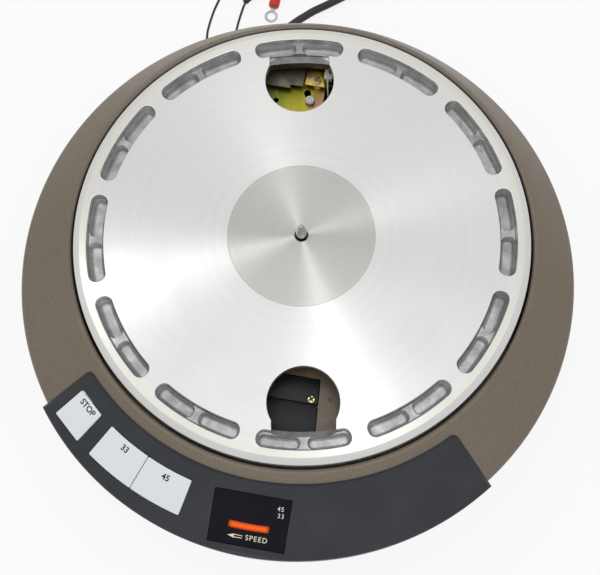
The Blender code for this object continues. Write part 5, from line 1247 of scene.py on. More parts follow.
@dataclass
class ThinLeads:
    """The grommet and the two thin leads with their sleeves and the ring terminal."""

    gap: float = 0.0003
    floor_gap: float = 0.0001
    diameter: float = 0.002
    step_share: float = 3.5
    spacing: float = 0.004
    can_radius: float = 0.1465
    angle: float = 121
    height: float = 0.011
    grommet_radius: float = 0.006
    neck_radius: float = 0.0045
    lip: float = 0.002
    sleeve_radius: float = 0.0045
    sleeve_length: float = 0.014
    terminal_radius: float = 0.0055
    terminal_hole: float = 0.0034
    terminal_thickness: float = 0.001
    tongue: float = 0.003
    earth_route: tuple[tuple[float, float, float], ...] = (
        (-0.0960, 0.1590, 0.0040), (-0.1090, 0.1790, 0.0016), (-0.1165, 0.1961, 0.0014),
        (-0.1164, 0.2148, 0.0014), (-0.1137, 0.2312, 0.0014), (-0.1080, 0.2500, 0.0014),
        (-0.0960, 0.2650, 0.0018), (-0.0800, 0.2700, 0.0030))
    second_route: tuple[tuple[float, float, float], ...] = (
        (-0.0880, 0.1620, 0.0040), (-0.0920, 0.1860, 0.0016), (-0.0936, 0.2084, 0.0018))
    earth_sleeve: tuple[float, float] = (-0.0662, 0.2460)
    earth_sleeve_angle: float = -92
    second_sleeve: tuple[float, float] = (-0.0905, 0.2325)
    second_sleeve_angle: float = 78

    def points(self, side: int, route: Sequence[Point], sleeve: Point, angle: float) -> list[Vector]:
        """One lead's centreline, from the grommet to its sleeve.

        Args:
            side: Which place it has in the grommet.
            route: Points on the floor.
            sleeve: Where its sleeve starts.
            angle: Which way the sleeve runs.

        Returns:
            The points.
        """
        out = Vector((*polar(1, self.angle), 0))
        across = Vector((*polar(1, self.angle + 90), 0))
        face = self.can_radius + 2 * self.gap + self.lip
        start = out * face + across * side * self.spacing / 2 + Vector((0, 0, self.height))
        back = Vector((*polar(1, angle), 0)) * -1
        end = Vector((*sleeve, self.sleeve_radius + self.floor_gap)) + back * self.gap
        straight = 2 * self.diameter
        knots = [start, start + out * straight, *(Vector(p) for p in route),
                 end + back * straight, end]
        return Route().smooth(knots, self.step_share * self.diameter)

    def grommet(self) -> bpy.types.Object:
        """The rubber grommet in the can's wall."""
        base = self.can_radius + self.gap
        profile = [(0, base - 0.004), (self.neck_radius, base - 0.004), (self.neck_radius, base),
                   (self.grommet_radius, base, 0.0004), (self.grommet_radius, base + self.lip, 0.0012),
                   (0, base + self.lip)]
        lay = (Matrix.Translation((0, 0, self.height)) @ Matrix.Rotation(math.radians(self.angle), 4, "Z")
               @ Matrix.Rotation(math.radians(90), 4, "Y"))
        return Mould().lathe(profile, 40).place(lay).done("rubber_grommet")

    def sleeve(self, name: str, place: Point, angle: float) -> bpy.types.Object:
        """A soft sleeve that narrows onto its lead.

        Args:
            name: The piece's name.
            place: Where it starts.
            angle: Which way it runs.

        Returns:
            The sleeve.
        """
        full, run = self.sleeve_radius, self.sleeve_length
        profile = [(0, 0), (full * 0.55, 0, 0.0004), (full * 0.62, run * 0.16, 0.001),
                   (full, run * 0.36, 0.002), (full, run * 0.84, 0.001), (full * 0.86, run, 0.0006), (0, run)]
        lay = (Matrix.Translation((*place, full + self.floor_gap))
               @ Matrix.Rotation(math.radians(angle), 4, "Z") @ Matrix.Rotation(math.radians(90), 4, "Y"))
        return Mould().lathe(profile, 36).place(lay).done(name)

    def terminal(self) -> bpy.types.Object:
        """The ring terminal at the red sleeve."""
        near = self.sleeve_length - 0.002
        centre = self.sleeve_length + self.gap + self.tongue + self.terminal_radius
        half = self.terminal_thickness / 2
        ring = Mould().lathe([(self.terminal_hole, -half, 0.0001), (self.terminal_radius, -half, 0.0002),
                              (self.terminal_radius, half, 0.0002), (self.terminal_hole, half, 0.0001)],
                             64, (centre, 0)).done("ring_terminal_face")
        mould = Mould()
        reach = centre - self.terminal_hole - 0.0006
        face = mould.face([(near, -0.0019), (reach, -0.0019), (reach, 0.0019), (near, 0.0019)], -half)
        mould.raise_face(face, self.terminal_thickness)
        tongue = mould.done("tongue")
        combine(ring, [tongue], Way.ADD)
        ring.data.transform(Matrix.Translation((*self.earth_sleeve, self.sleeve_radius + self.floor_gap))
                            @ Matrix.Rotation(math.radians(self.earth_sleeve_angle), 4, "Z"))
        return ring

    def build(self) -> None:
        """Makes and seats the leads' pieces."""
        show(self.grommet(), Finish.RUBBER, Body.BASE, ["lead_grommet"])
        red = show(self.sleeve("red_vinyl_sleeve", self.earth_sleeve, self.earth_sleeve_angle),
                   Finish.RED, Body.BASE, ["red_sleeve"])
        ring = show(self.terminal(), Finish.WHITE_ZINC, Body.BASE, ["ring_terminal"])
        dark = show(self.sleeve("dark_rubber_sleeve", self.second_sleeve, self.second_sleeve_angle),
                    Finish.RUBBER, Body.BASE, ["dark_sleeve"])
        first = self.points(1, self.earth_route, self.earth_sleeve, self.earth_sleeve_angle)
        second = self.points(-1, self.second_route, self.second_sleeve, self.second_sleeve_angle)
        for name, node, points, on_it in (
                ("earth_wire", "earth_lead", first, [red, ring]), ("second_wire", "second_lead", second, [dark])):
            lead = show(Route.lead(name, points, self.diameter), Finish.RUBBER, Body.BASE, [node])
            Route.length(points)
            LOG.info("%s is %.3f m long", name, Route.length(points))


@dataclass
class PlatterSet:
    """The turned platter with its pockets and finger holes, and the ring under its rim."""

    radius: float = 0.156
    top: float = 0.127
    plate: float = 0.006
    rim_depth: float = 0.023
    rim_width: float = 0.024
    chamfer_width: float = 0.0045
    chamfer_drop: float = 0.0032
    label_radius: float = 0.05024
    label_recess: float = 0.0004
    hole_radius: float = 0.0045
    bore: float = 0.00906
    boss_radius: float = 0.022
    boss_base: float = 0.112
    bore_top: float = 0.1153
    pockets: int = 12
    phase: float = 10.7
    pocket_inner: float = 0.135
    pocket_outer: float = 0.1465
    pocket_half: float = 12.7
    pocket_depth: float = 0.0045
    cell_depth: float = 0.0125
    cell_inset: float = 0.0009
    rib_half: float = 0.9
    ledge: float = 0.002
    neck_radius: float = 0.133
    land_outer_depth: float = 0.0088
    land_inner_depth: float = 0.0100
    relief_depth: float = 0.0182
    finger_phase: float = 100.7
    finger_radius: float = 0.024
    finger_centre: float = 0.115
    neck_width: float = 0.042

    def disc(self) -> bpy.types.Object:
        """The turned blank, before its pockets are sunk."""
        seat = self.top - self.label_recess
        under = self.top - self.plate
        inner = self.radius - self.rim_width
        foot = self.top - self.rim_depth
        profile = [
            (self.bore, self.boss_base, 0.0004), (self.boss_radius, self.boss_base, 0.0008),
            (self.boss_radius, under, 0.0015), (inner, under, 0.002), (inner, foot, 0.0008),
            (self.radius, foot, 0.0012), (self.radius, self.top - self.chamfer_drop, 0.0004),
            (self.radius - self.chamfer_width, self.top, 0.0003),
            (self.label_radius + 0.0002, self.top, 0.00012), (self.label_radius, seat, 0.0001),
            (self.hole_radius, seat, 0.0005), (self.hole_radius, self.bore_top),
            (self.bore, self.bore_top)]
        return Mould().lathe(profile, 288).done("spun_platter")

    def pocket(self, middle: float) -> bpy.types.Object:
        """The shallow part of one pocket, as a shape to cut with."""
        mould = Mould()
        lip = 0.0005
        grown = math.degrees(lip / self.pocket_outer)
        radii = (self.pocket_inner - lip, self.pocket_outer + lip)
        half = self.pocket_half + grown
        corner = (radii[1] - radii[0]) * 0.46
        face = mould.arc_face(radii, (middle - half, middle + half), self.top, corner, 24, 8)
        mould.raise_face(face, 0.001)
        mould.outward()
        deep = self.pocket_depth
        mould.step_in(face, [(0.00025, 0.00006), (0.00017, 0.00018), (0.00008, 0.00026),
                             (0.0003, deep - 0.0017), (0.0002, 0.0006), (0.0006, 0.0006)])
        return mould.done(f"pocket_{middle:.0f}")

    def cell(self, middle: float, side: int, inner: float) -> bpy.types.Object:
        """One of the two deep parts of a pocket, as a shape to cut with.

        Args:
            middle: The pocket's angle.
            side: -1 or 1.
            inner: Inner radius of the cell.

        Returns:
            The shape.
        """
        mould = Mould()
        lip = 0.0008
        outer = self.pocket_outer - self.cell_inset
        half = (self.pocket_half - math.degrees(self.cell_inset / inner) - self.rib_half) / 2
        centre = middle + side * (half + self.rib_half)
        grown = math.degrees(lip / outer)
        ends = (centre - half - grown * 0.6, centre + half + grown * 0.6)
        height = self.top - self.pocket_depth + 0.0006
        radii = (inner - lip * 0.4, outer + lip * 0.4)
        corner = min(0.0042, (radii[1] - radii[0]) * 0.46)
        face = mould.arc_face(radii, ends, height, corner, 12, 8)
        mould.raise_face(face, 0.0004)
        mould.outward()
        deep = self.cell_depth - self.pocket_depth
        mould.step_in(face, [(0.00035, 0.0004), (0.0002, 0.0006), (0.0001, 0.0008),
                             (0.0003, deep - 0.0036), (0.0003, 0.0011), (0.0007, 0.0009), (0.0009, 0.0004)])
        return mould.done(f"cell_{middle:.0f}_{side}")

    def neck_turn(self) -> float:
        """Half the angle that a finger hole's neck takes up."""
        return math.degrees(math.asin(self.neck_width / 2 / self.neck_radius))

    def land_painted_shade(self, middle: float) -> bpy.types.Object:
        """The sloped opening between a pocket and its finger hole, as a shape to cut with."""
        mould = Mould()
        outer = self.pocket_inner + self.ledge + 0.0004
        inner = self.neck_radius - 0.005
        turn = self.neck_turn()
        face = mould.arc_face((inner, outer), (middle - turn, middle + turn), self.top + 0.001, 0.0022, 12, 5)
        low = mould.raise_face(face, -self.land_outer_depth)
        steep = (self.land_inner_depth - self.land_outer_depth) / (outer - self.neck_radius)
        for vert in low.verts:
            away = math.hypot(vert.co.x, vert.co.y)
            vert.co.z = self.top - self.land_outer_depth - (outer - away) * steep
        bmesh.ops.triangulate(mould.mesh, faces=[low])
        mould.outward()
        return mould.done(f"land_{middle:.0f}")

    def relief(self, middle: float) -> bpy.types.Object:
        """The room under the rim's inner edge at a finger hole, as a shape to cut with."""
        mould = Mould()
        foot = self.top - self.rim_depth - 0.002
        turn = self.neck_turn()
        face = mould.arc_face((self.neck_radius - 0.005, self.pocket_inner + 0.0012),
                              (middle - turn, middle + turn), foot, 0.0022, 12, 5)
        mould.raise_face(face, self.rim_depth - self.relief_depth + 0.002)
        mould.outward()
        return mould.done(f"relief_{middle:.0f}")

    def finger_hole(self, middle: float) -> bpy.types.Object:
        """A finger hole with its neck into the pocket, as a shape to cut with."""
        mould = Mould()
        half = self.neck_width / 2
        start = math.degrees(math.asin(half / self.finger_radius))
        foot = self.top - self.rim_depth - 0.002
        first = polar(self.finger_radius, start)
        begin = mould.mesh.verts.new((self.finger_centre + first.x, first.y, foot))
        spun = bmesh.ops.spin(
            mould.mesh, geom=[begin], cent=(self.finger_centre, 0, 0), axis=(0, 0, 1),
            angle=math.radians(360 - 2 * start), steps=64, use_duplicate=False)
        last = spun["geom_last"][0]
        wide = self.neck_turn()
        rim = [mould.mesh.verts.new((*polar(self.neck_radius, turn), foot)) for turn in spread(-wide, wide, 12)]
        run = [last, *rim, begin]
        for near, far in zip(run, run[1:]):
            mould.mesh.edges.new((near, far))
        face = bmesh.ops.contextual_create(mould.mesh, geom=list(mould.mesh.edges))["faces"][0]
        lid = mould.raise_face(face, self.top - foot - 0.0006)
        mould.outward()
        mould.step_in(lid, [(-0.00006, 0.00025), (-0.00018, 0.00022), (-0.0003, 0.00013), (0, 0.001)])
        mould.place(Matrix.Rotation(math.radians(middle), 4, "Z"))
        return mould.done(f"finger_hole_{middle:.0f}")

    def finish_faces(self, piece: bpy.types.Object) -> None:
        """Gives the label seat and the inside of pockets and holes their own finishes, with painted light and
        shade: upright walls lighter than the floors, the sloped lands and the finger holes' walls darker.
        """
        for face in piece.data.polygons:
            place = face.center
            away = math.hypot(place.x, place.y)
            if away < self.label_radius and place.z > self.top - 0.0006:
                face.material_index = 1
            elif away < self.pocket_outer + 0.0008 and away > self.label_radius and (
                    self.top - self.rim_depth + 0.0002 < place.z < self.top - 0.0006):
                # Faces that stand upright take a lighter tone than the floors: painted light.
                up = face.normal.z > 0.62
                if up:
                    # Floors inside the pockets' inner edge, on the sloped lands, take a darker tone: painted
                    # shade.
                    face.material_index = 2 if away > self.pocket_inner + 0.001 else 4
                else:
                    # Walls deep in the finger holes take a much darker tone: painted shade.
                    hole = away < self.neck_radius + 0.0005 and place.z < self.top - self.land_inner_depth
                    face.material_index = 5 if hole else 3

    def build(self) -> None:
        """Makes and seats the platter's pieces."""
        piece = self.disc()
        tools = []
        for step in range(self.pockets):
            middle = self.phase + 360 * step / self.pockets
            tools.append(self.pocket(middle))
        combine(piece, tools, Way.CUT)
        tools = []
        for step in range(self.pockets):
            middle = self.phase + 360 * step / self.pockets
            by_finger = abs(math.sin(math.radians(middle - self.finger_phase))) < 1e-6
            inner = self.pocket_inner + (self.ledge if by_finger else self.cell_inset)
            tools += [self.cell(middle, side, inner) for side in (-1, 1)]
        combine(piece, tools, Way.CUT)
        for shape in (self.land_painted_shade, self.finger_hole, self.relief):
            combine(piece, [shape(self.finger_phase), shape(self.finger_phase + 180)], Way.CUT)
        self.finish_faces(piece)
        even_light(piece)
        show(piece, Finish.PLATTER, Body.PLATTER, ["platter"],
             [Finish.LABEL, Finish.POCKET, Finish.POCKET_WALL_PAINTED_LIGHT, Finish.LAND_PAINTED_SHADE, Finish.HOLE_WALL_PAINTED_SHADE])
        low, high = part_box("pulse_ring")
        inner = self.radius - self.rim_width + 0.005
        ring = Mould().lathe([(inner, low.z, 0.0002), (inner + 0.006, low.z, 0.0002),
                              (inner + 0.006, high.z, 0.0002), (inner, high.z, 0.0002)], 180)
        show(ring.done("magnet_ring"), Finish.COVER, Body.PLATTER, ["pulse_ring"])


@dataclass
class RotorSet:
    """The spindle with its pointed top, the hub and the bell."""

    foot: float = 0.036
    journal: float = 0.005
    shoulder: float = 0.115
    spindle: float = 0.0036
    top: float = 0.1453
    taper: tuple[tuple[float, float], ...] = (
        (0.0036, 0.0125), (0.0031, 0.0088), (0.0023, 0.0045), (0.0012, 0.0))
    hub_top: float = 0.1117
    flange_radius: float = 0.030
    flange: float = 0.0037
    spigot: float = 0.009
    boss: float = 0.011
    bell_top: float = 0.0837
    bell_web: float = 0.002

    def build(self) -> None:
        """Makes and seats the rotor's pieces."""
        shaft = Mould().lathe([
            (0, self.foot), (self.journal, self.foot, 0.0005), (self.journal, self.shoulder, 0.0003),
            (self.spindle, self.shoulder), *((radius, self.top - drop, 0.0008) for radius, drop in self.taper),
            (0, self.top)], 64)
        show(shaft.done("spindle"), Finish.STEEL, Body.ROTOR, ["spindle_shaft"])
        bore = self.journal + 0.0003
        base = self.bell_top - self.bell_web
        under = self.hub_top - self.flange
        high = self.hub_top + 0.0033
        hub = Mould().lathe([
            (bore, base), (self.boss, base), (self.boss, under, 0.001), (self.flange_radius, under, 0.0005),
            (self.flange_radius, self.hub_top, 0.0006), (self.spigot, self.hub_top),
            (self.spigot, high, 0.0004), (bore, high, 0.0003)], 120)
        show(hub.done("turned_hub"), Finish.TURNED, Body.ROTOR, ["rotor_hub"])
        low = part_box("rotor_bell")[0].z
        bell = Mould().lathe([
            (self.boss + 0.0003, base), (0.0458, base, 0.001), (0.0458, low, 0.0003), (0.050, low, 0.0005),
            (0.050, self.bell_top, 0.0015), (self.boss + 0.0003, self.bell_top)], 120)
        show(bell.done("steel_bell"), Finish.MOTOR_STEEL, Body.ROTOR, ["rotor_bell"])


@dataclass
class ChassisRing:
    """The painted casting: a sloped ring with a forward-set rim, a skirt and the platter's well."""

    flange: float = 0.090
    floor_under: float = 0.093
    floor_top: float = 0.097
    well: float = 0.158
    wall: float = 0.0035
    ledge: float = 0.141
    rim_edge: float = 0.0012
    skirt: float = 0.0035
    skin: float = 0.0038
    steps: int = 288

    def hoops(self) -> list[tuple[float, float, float]]:
        """The circles that the ring is drawn through: forward offset, radius and height."""
        ridge, rim, top = SLOPE.ridge_radius, SLOPE.rim_radius, SLOPE.ridge_height
        rim_height = top - SLOPE.drop
        edge = (rim - ridge - self.rim_edge) / (rim - ridge)
        back = (rim - ridge - self.skirt) / (rim - ridge)
        wall = (self.well + self.wall - ridge) / (rim - ridge)

        def along(share: float, sunk: float) -> tuple[float, float, float]:
            """A circle on the slope, or some way under it."""
            return (SLOPE.rim_offset * share, ridge + (rim - ridge) * share, top - SLOPE.drop * share - sunk)

        return [
            (0, self.ledge, self.floor_top), (0, self.well, self.floor_top),
            (0, self.well, top - 0.0016), (0, self.well + 0.0003, top - 0.0010),
            (0, self.well + 0.0012, top - 0.0004),
            (0, ridge - 0.0005, top - 0.00002), along(0.012, 0.00012), along(edge * 0.35, 0),
            along(edge * 0.7, 0), along(edge - 0.02, 0), along(edge + 0.015, 0.00025),
            (SLOPE.rim_offset, rim - 0.0001, rim_height - self.rim_edge),
            (SLOPE.rim_offset, rim, rim_height - self.rim_edge - 0.0008),
            (SLOPE.rim_offset, rim, self.flange + 0.0004), (SLOPE.rim_offset, rim - 0.0004, self.flange),
            (SLOPE.rim_offset, rim - self.skirt, self.flange), along(back, self.skin),
            along(wall, self.skin + 0.0004), (0, self.well + self.wall, self.floor_under + 0.001),
            (0, self.well + self.wall, self.floor_under), (0, self.ledge, self.floor_under)]

    def ring(self) -> bpy.types.Object:
        """The ring itself, drawn from hoop to hoop."""
        mould = Mould()
        hoops = self.hoops()
        offset, radius, height = hoops[0]
        made = bmesh.ops.create_circle(
            mould.mesh, cap_ends=False, radius=radius, segments=self.steps,
            matrix=Matrix.Translation((0, -offset, height)))["verts"]
        edges = list({edge for vert in made for edge in vert.link_edges})
        for hoop in hoops[1:] + hoops[:1]:
            grown = bmesh.ops.extrude_edge_only(mould.mesh, edges=edges)["geom"]
            made = [item for item in grown if isinstance(item, bmesh.types.BMVert)]
            fresh = set(made)
            edges = list({edge for vert in made for edge in vert.link_edges if set(edge.verts) <= fresh})
            size = hoop[1] / radius
            move = (Matrix.Translation((0, -hoop[0], hoop[2])) @ Matrix.Diagonal((size, size, 1, 1))
                    @ Matrix.Translation((0, offset, -height)))
            bmesh.ops.transform(mould.mesh, matrix=move, verts=made)
            offset, radius, height = hoop
        bmesh.ops.remove_doubles(mould.mesh, verts=mould.mesh.verts, dist=1e-6)
        return mould.done("painted_ring", 40)

    def openings(self) -> list[bpy.types.Object]:
        """Shapes that open the slope under the buttons and the window."""
        shapes = []
        for name, first, last in (("stop", -134.4, -127.1), ("speed", -124.2, -103.1)):
            mould = Mould()
            face = mould.arc_face((0.173, 0.2036), (first, last), -0.0146, 0.0006, 12, 2)
            mould.raise_face(face, 0.019)
            mould.slice_fan(spread(first, last, 6)[1:-1])
            shapes.append(mould.drape(0.1008, -0.01).done(f"opening_{name}"))
        mould = Mould()
        face = mould.face([(-0.0263, -0.1754), (-0.0263, -0.2104), (0.0263, -0.2104), (0.0263, -0.1754)],
                          -0.0146)
        mould.raise_face(face, 0.019)
        mould.slice_across(spread(-0.0263, 0.0263, 8)[1:-1])
        shapes.append(mould.drape(0.1008, -0.01).done("opening_window"))
        return shapes

    def build(self) -> None:
        """Makes and seats the casting."""
        ring = combine(self.ring(), self.openings(), Way.CUT)
        web = Mould()
        outline = [polar(0.1415, turn) for turn in spread(-76.7, -51, 16)]
        outline += [polar(0.0862, turn) for turn in spread(-54, -69.5, 8)] + [Vector((0.0283, -0.0815))]
        web.raise_face(web.face(outline, self.floor_under), self.floor_top - self.floor_under)
        combine(ring, [web.soften_sharp(0.0005, 2).done("web")], Way.ADD)
        dimple = Mould().lathe([(0, self.floor_top - 0.0009), (0.0010, self.floor_top - 0.0007),
                                (0.0017, self.floor_top + 0.0006), (0, self.floor_top + 0.0006)],
                               32, (0.0381, -0.1028))
        combine(ring, [dimple.done("dimple")], Way.CUT)
        port = Mould()
        bmesh.ops.create_cube(port.mesh, size=1, matrix=Matrix.Translation((0, -0.1595, 0.103))
                              @ Matrix.Diagonal((0.028, 0.010, 0.008, 1)))
        combine(ring, [port.done("light_port")], Way.CUT)
        even_light(ring)
        show(ring, Finish.RING, Body.BASE, ["chassis_casting"])


@dataclass
class PanelSet:
    """The control panel with its buttons, lettering, strobe window and slot."""

    inner: float = 0.1674
    outer: float = 0.1955
    rise: float = 0.0023
    gap: float = 0.0003
    half_angle: float = 46.9
    bevel: float = 0.0026
    apron: float = 0.092
    corner: float = 0.004
    button_inner: float = 0.1795
    button_outer: float = 0.203
    button_base: float = 0.104
    button_gap: float = 0.0005
    proud: float = 0.001
    stop: tuple[float, float] = (-134.2, -127.3)
    speed_33: tuple[float, float] = (-124.0, -113.8)
    speed_45: tuple[float, float] = (-113.8, -103.3)
    window_half: float = 0.0257
    window_inner: float = 0.176
    window_outer: float = 0.2098
    window_recess: float = 0.001
    window_thickness: float = 0.002
    slot_radius: float = 0.197
    slot_width: float = 0.005
    slot_half_angle: float = 4.05

    def body(self) -> bpy.types.Object:
        """The panel: a bevelled plate over the slope with an apron down its front."""
        mould = Mould()
        first, last = -90 - self.half_angle, -90 + self.half_angle
        angles = spread(first, last, 72)
        outline = [polar(SLOPE.reach(a, self.outer), a) for a in angles]
        outline += [polar(self.inner, a) for a in reversed(angles)]
        face = mould.face(outline, self.gap)
        ends = [v for v in face.verts
                if abs(math.hypot(v.co.x, v.co.y) - self.inner) < 1e-6
                and abs(abs(math.degrees(math.atan2(v.co.x, -v.co.y))) - self.half_angle) < 0.01]
        self.round_ends(mould, ends)
        face = max(mould.mesh.faces, key=lambda item: item.calc_area())
        mould.raise_face(face, self.rise - self.gap)
        mould.mesh.normal_update()
        top = [e for e in mould.mesh.edges if all(abs(v.co.z - self.rise) < 1e-6 for v in e.verts)]
        bmesh.ops.bevel(
            mould.mesh, geom=top, offset=0.0019, offset_type="OFFSET", segments=1, profile=0.5,
            affect="EDGES", clamp_overlap=True, material=-1)
        mould.slice_fan(spread(first, last, 48)[1:-1])
        plate = mould.drape().done("panel_moulding")
        skirt = Mould()
        outline = [polar(SLOPE.reach(a, self.outer), a) for a in angles]
        outline += [polar(SLOPE.reach(a, SLOPE.rim_radius) + self.gap, a) for a in reversed(angles)]
        face = skirt.face(outline, -0.014)
        skirt.raise_face(face, 0.014 + 0.0006)
        skirt.slice_fan(spread(first, last, 48)[1:-1])
        combine(plate, [skirt.drape(self.apron).done("apron")], Way.ADD)
        return plate

    def round_ends(self, mould: Mould, ends: Sequence[bmesh.types.BMVert]) -> None:
        """Rounds the panel's two inner corners."""
        reach = [v for end in ends for e in end.link_edges for v in (e.other_vert(end),)]
        near = [v for v in reach if v not in ends
                and abs(math.hypot(v.co.x, v.co.y) - self.inner) < 1e-6]
        bmesh.ops.dissolve_verts(mould.mesh, verts=near)
        mould.round_corners(ends, self.corner, 6)

    def button_outline(self, mould: Mould, angles: Point, first_gap: float, last_gap: float,
                       height: float, grow: float = 0) -> bmesh.types.BMFace:
        """A button's flat outline.

        Args:
            mould: Where it goes.
            angles: The button's two angles.
            first_gap: Room kept at its first side.
            last_gap: Room kept at its last side.
            height: How high it lies.
            grow: How much wider it is all round.

        Returns:
            The face.
        """
        middle = (self.button_inner + self.button_outer) / 2
        first = angles[0] + math.degrees((first_gap - grow) / middle)
        last = angles[1] - math.degrees((last_gap - grow) / middle)
        radii = (self.button_inner - grow, self.button_outer + grow)
        return mould.arc_face(radii, (first, last), height, 0.0008 + grow, 10, 4)

    def button(self, name: str, angles: Point, first_gap: float, last_gap: float) -> bpy.types.Object:
        """A button cap with softened edges, draped over the slope.

        Args:
            name: The piece's name.
            angles: Its two angles.
            first_gap: Room kept at its first side.
            last_gap: Room kept at its last side.

        Returns:
            The cap.
        """
        mould = Mould()
        face = self.button_outline(mould, angles, first_gap, last_gap, -0.012)
        lid = mould.raise_face(face, 0.012 + self.rise + self.proud)
        rims = list(lid.edges)
        bmesh.ops.bevel(
            mould.mesh, geom=rims, offset=0.0006, offset_type="OFFSET", segments=3, profile=0.5,
            affect="EDGES", clamp_overlap=True, material=-1)
        mould.slice_fan(spread(angles[0], angles[1], 8)[1:-1])
        return mould.drape(self.button_base, -0.008).done(name, 42)

    def label(self, name: str, words: str, size: float, place: Point, turn: float, height: float,
              bold: float = 0.0, spacing: float = 1.0) -> bpy.types.Object:
        """Printed words lying on the slope.

        Args:
            name: The piece's name.
            words: What they say.
            size: Height of the letters' line.
            place: Their middle.
            turn: How far they are turned, in degrees.
            height: How far over the slope they lie.
            bold: How much the strokes are widened.
            spacing: Width of the space between letters, as a share of the font's own.

        Returns:
            The letters as a mesh.
        """
        data = bpy.data.curves.new(name, "FONT")
        data.body = words
        data.size = size
        data.align_x = "CENTER"
        data.align_y = "CENTER"
        data.offset = bold
        data.space_character = spacing
        data.extrude = 0.00002
        letters = bpy.data.objects.new(name + "_text", data)
        bpy.context.scene.collection.objects.link(letters)
        graph = bpy.context.evaluated_depsgraph_get()
        mesh = bpy.data.meshes.new_from_object(letters.evaluated_get(graph), depsgraph=graph)
        bpy.data.objects.remove(letters)
        mould = Mould()
        mould.mesh.from_mesh(mesh)
        bpy.data.meshes.remove(mesh)
        bmesh.ops.remove_doubles(mould.mesh, verts=mould.mesh.verts, dist=1e-7)
        mould.place(Matrix.Translation((place[0], place[1], height))
                    @ Matrix.Rotation(math.radians(turn), 4, "Z"))
        return mould.drape().done(name)

    def panel_openings(self) -> list[bpy.types.Object]:
        """Shapes that open the panel for the buttons and the window."""
        shapes = []
        for name, angles in (("stop", self.stop), ("speed", (self.speed_33[0], self.speed_45[1]))):
            mould = Mould()
            face = self.button_outline(mould, angles, 0, 0, -0.003, self.button_gap)
            mould.raise_face(face, 0.009)
            mould.slice_fan(spread(angles[0], angles[1], 10)[1:-1])
            shapes.append(mould.drape().done(f"panel_{name}"))
        mould = Mould()
        half = self.window_half
        face = mould.face([(-half, -self.window_inner), (-half, -self.window_outer),
                           (half, -self.window_outer), (half, -self.window_inner)], -0.003)
        mould.round_corners(list(face.verts), 0.0006, 3)
        face = max(mould.mesh.faces, key=lambda item: item.calc_area())
        mould.raise_face(face, 0.009)
        mould.slice_across(spread(-half, half, 8)[1:-1])
        shapes.append(mould.drape().done("panel_window"))
        return shapes

    def window(self) -> bpy.types.Object:
        """The dark pane with its curved slot."""
        mould = Mould()
        half = self.window_half - self.gap
        near, far = self.window_inner + self.gap, self.window_outer - self.gap
        top = self.rise - self.window_recess
        face = mould.face([(-half, -near), (-half, -far), (half, -far), (half, -near)],
                          top - self.window_thickness)
        mould.raise_face(face, self.window_thickness)
        mould.slice_across(spread(-half, half, 16)[1:-1])
        pane = mould.drape().done("strobe_pane", 30)
        slot = Mould()
        width = self.slot_width / 2
        face = slot.arc_face((self.slot_radius - width, self.slot_radius + width),
                             (-90 - self.slot_half_angle, -90 + self.slot_half_angle), -0.004, 0.0003, 16, 2)
        slot.raise_face(face, 0.010)
        slot.slice_fan(spread(-93, -87, 6))
        return combine(pane, [slot.drape().done("slot")], Way.CUT)

    def light_guide(self) -> bpy.types.Object:
        """The orange strip that shows in the slot."""
        mould = Mould()
        width = self.slot_width / 2 - self.gap / 2
        end = self.slot_half_angle - math.degrees(self.gap / self.slot_radius)
        under = self.rise - self.window_recess - self.window_thickness - self.gap - 0.0012
        face = mould.arc_face((self.slot_radius - width, self.slot_radius + width),
                              (-90 - end, -90 + end), under, 0.0004, 16, 2)
        lid = mould.raise_face(face, self.rise - self.window_recess - 0.0003 - under)
        bmesh.ops.bevel(
            mould.mesh, geom=list(lid.edges), offset=0.0003, offset_type="OFFSET", segments=2,
            profile=0.5, affect="EDGES", clamp_overlap=True, material=-1)
        mould.slice_fan(spread(-93, -87, 6))
        return mould.drape().done("orange_strip", 40)

    def arrow(self) -> bpy.types.Object:
        """The printed arrow beside the word."""
        mould = Mould()
        height = self.rise - self.window_recess + 0.00005
        upper = [(-0.0086, -0.2027), (-0.0030, -0.2029), (-0.0030, -0.2033), (-0.0086, -0.2032)]
        lower = [(-0.0086, -0.2044), (-0.0030, -0.2043), (-0.0030, -0.2047), (-0.0086, -0.2049)]
        head = [(-0.0130, -0.2038), (-0.0086, -0.2025), (-0.0086, -0.2051)]
        for outline in (upper, lower, head):
            mould.raise_face(mould.face(outline, height), 0.00003)
        return mould.drape().done("printed_arrow")

    def build(self) -> None:
        """Makes and seats the panel's pieces."""
        panel = combine(self.body(), self.panel_openings(), Way.CUT)
        even_light(panel)
        show(panel, Finish.PANEL, Body.BASE, ["control_panel"])
        half = self.button_gap / 2
        for name, node, angles, first, last, body, words, place in (
                ("stop_cap", "stop_button", self.stop, 0, 0, Body.STOP, "STOP", (0.1835, -130.5)),
                ("cap_33", "button_33", self.speed_33, 0, half, Body.SPEED_33, "33", (0.1849, -118.8)),
                ("cap_45", "button_45", self.speed_45, half, 0, Body.SPEED_45, "45", (0.1853, -108.5))):
            show(self.button(name, angles, first, last), Finish.BUTTON, body, [node])
            print_height = self.rise + self.proud + 0.00003
            letters = self.label("print_" + name, words, 0.0056, polar(*place), place[1] + 90,
                                 print_height, 0.00014)
            show(letters, Finish.INK, body)
        show(self.window(), Finish.WINDOW, Body.BASE, ["strobe_window"])
        show(self.light_guide(), Finish.ORANGE, Body.BASE, ["strobe_diffuser"])
        height = self.rise - self.window_recess + 0.00005
        for name, words, place, size in (
                ("print_speed_45", "45", (0.0188, -0.1827), 0.0040), ("print_speed_33", "33", (0.0195, -0.1870), 0.0040),
                ("print_speed", "SPEED", (0.0062, -0.2038), 0.0046)):
            show(self.label(name, words, size, place, 0, height, 0.00002, 1.22), Finish.PALE_INK, Body.BASE)
        show(self.arrow(), Finish.PALE_INK, Body.BASE)


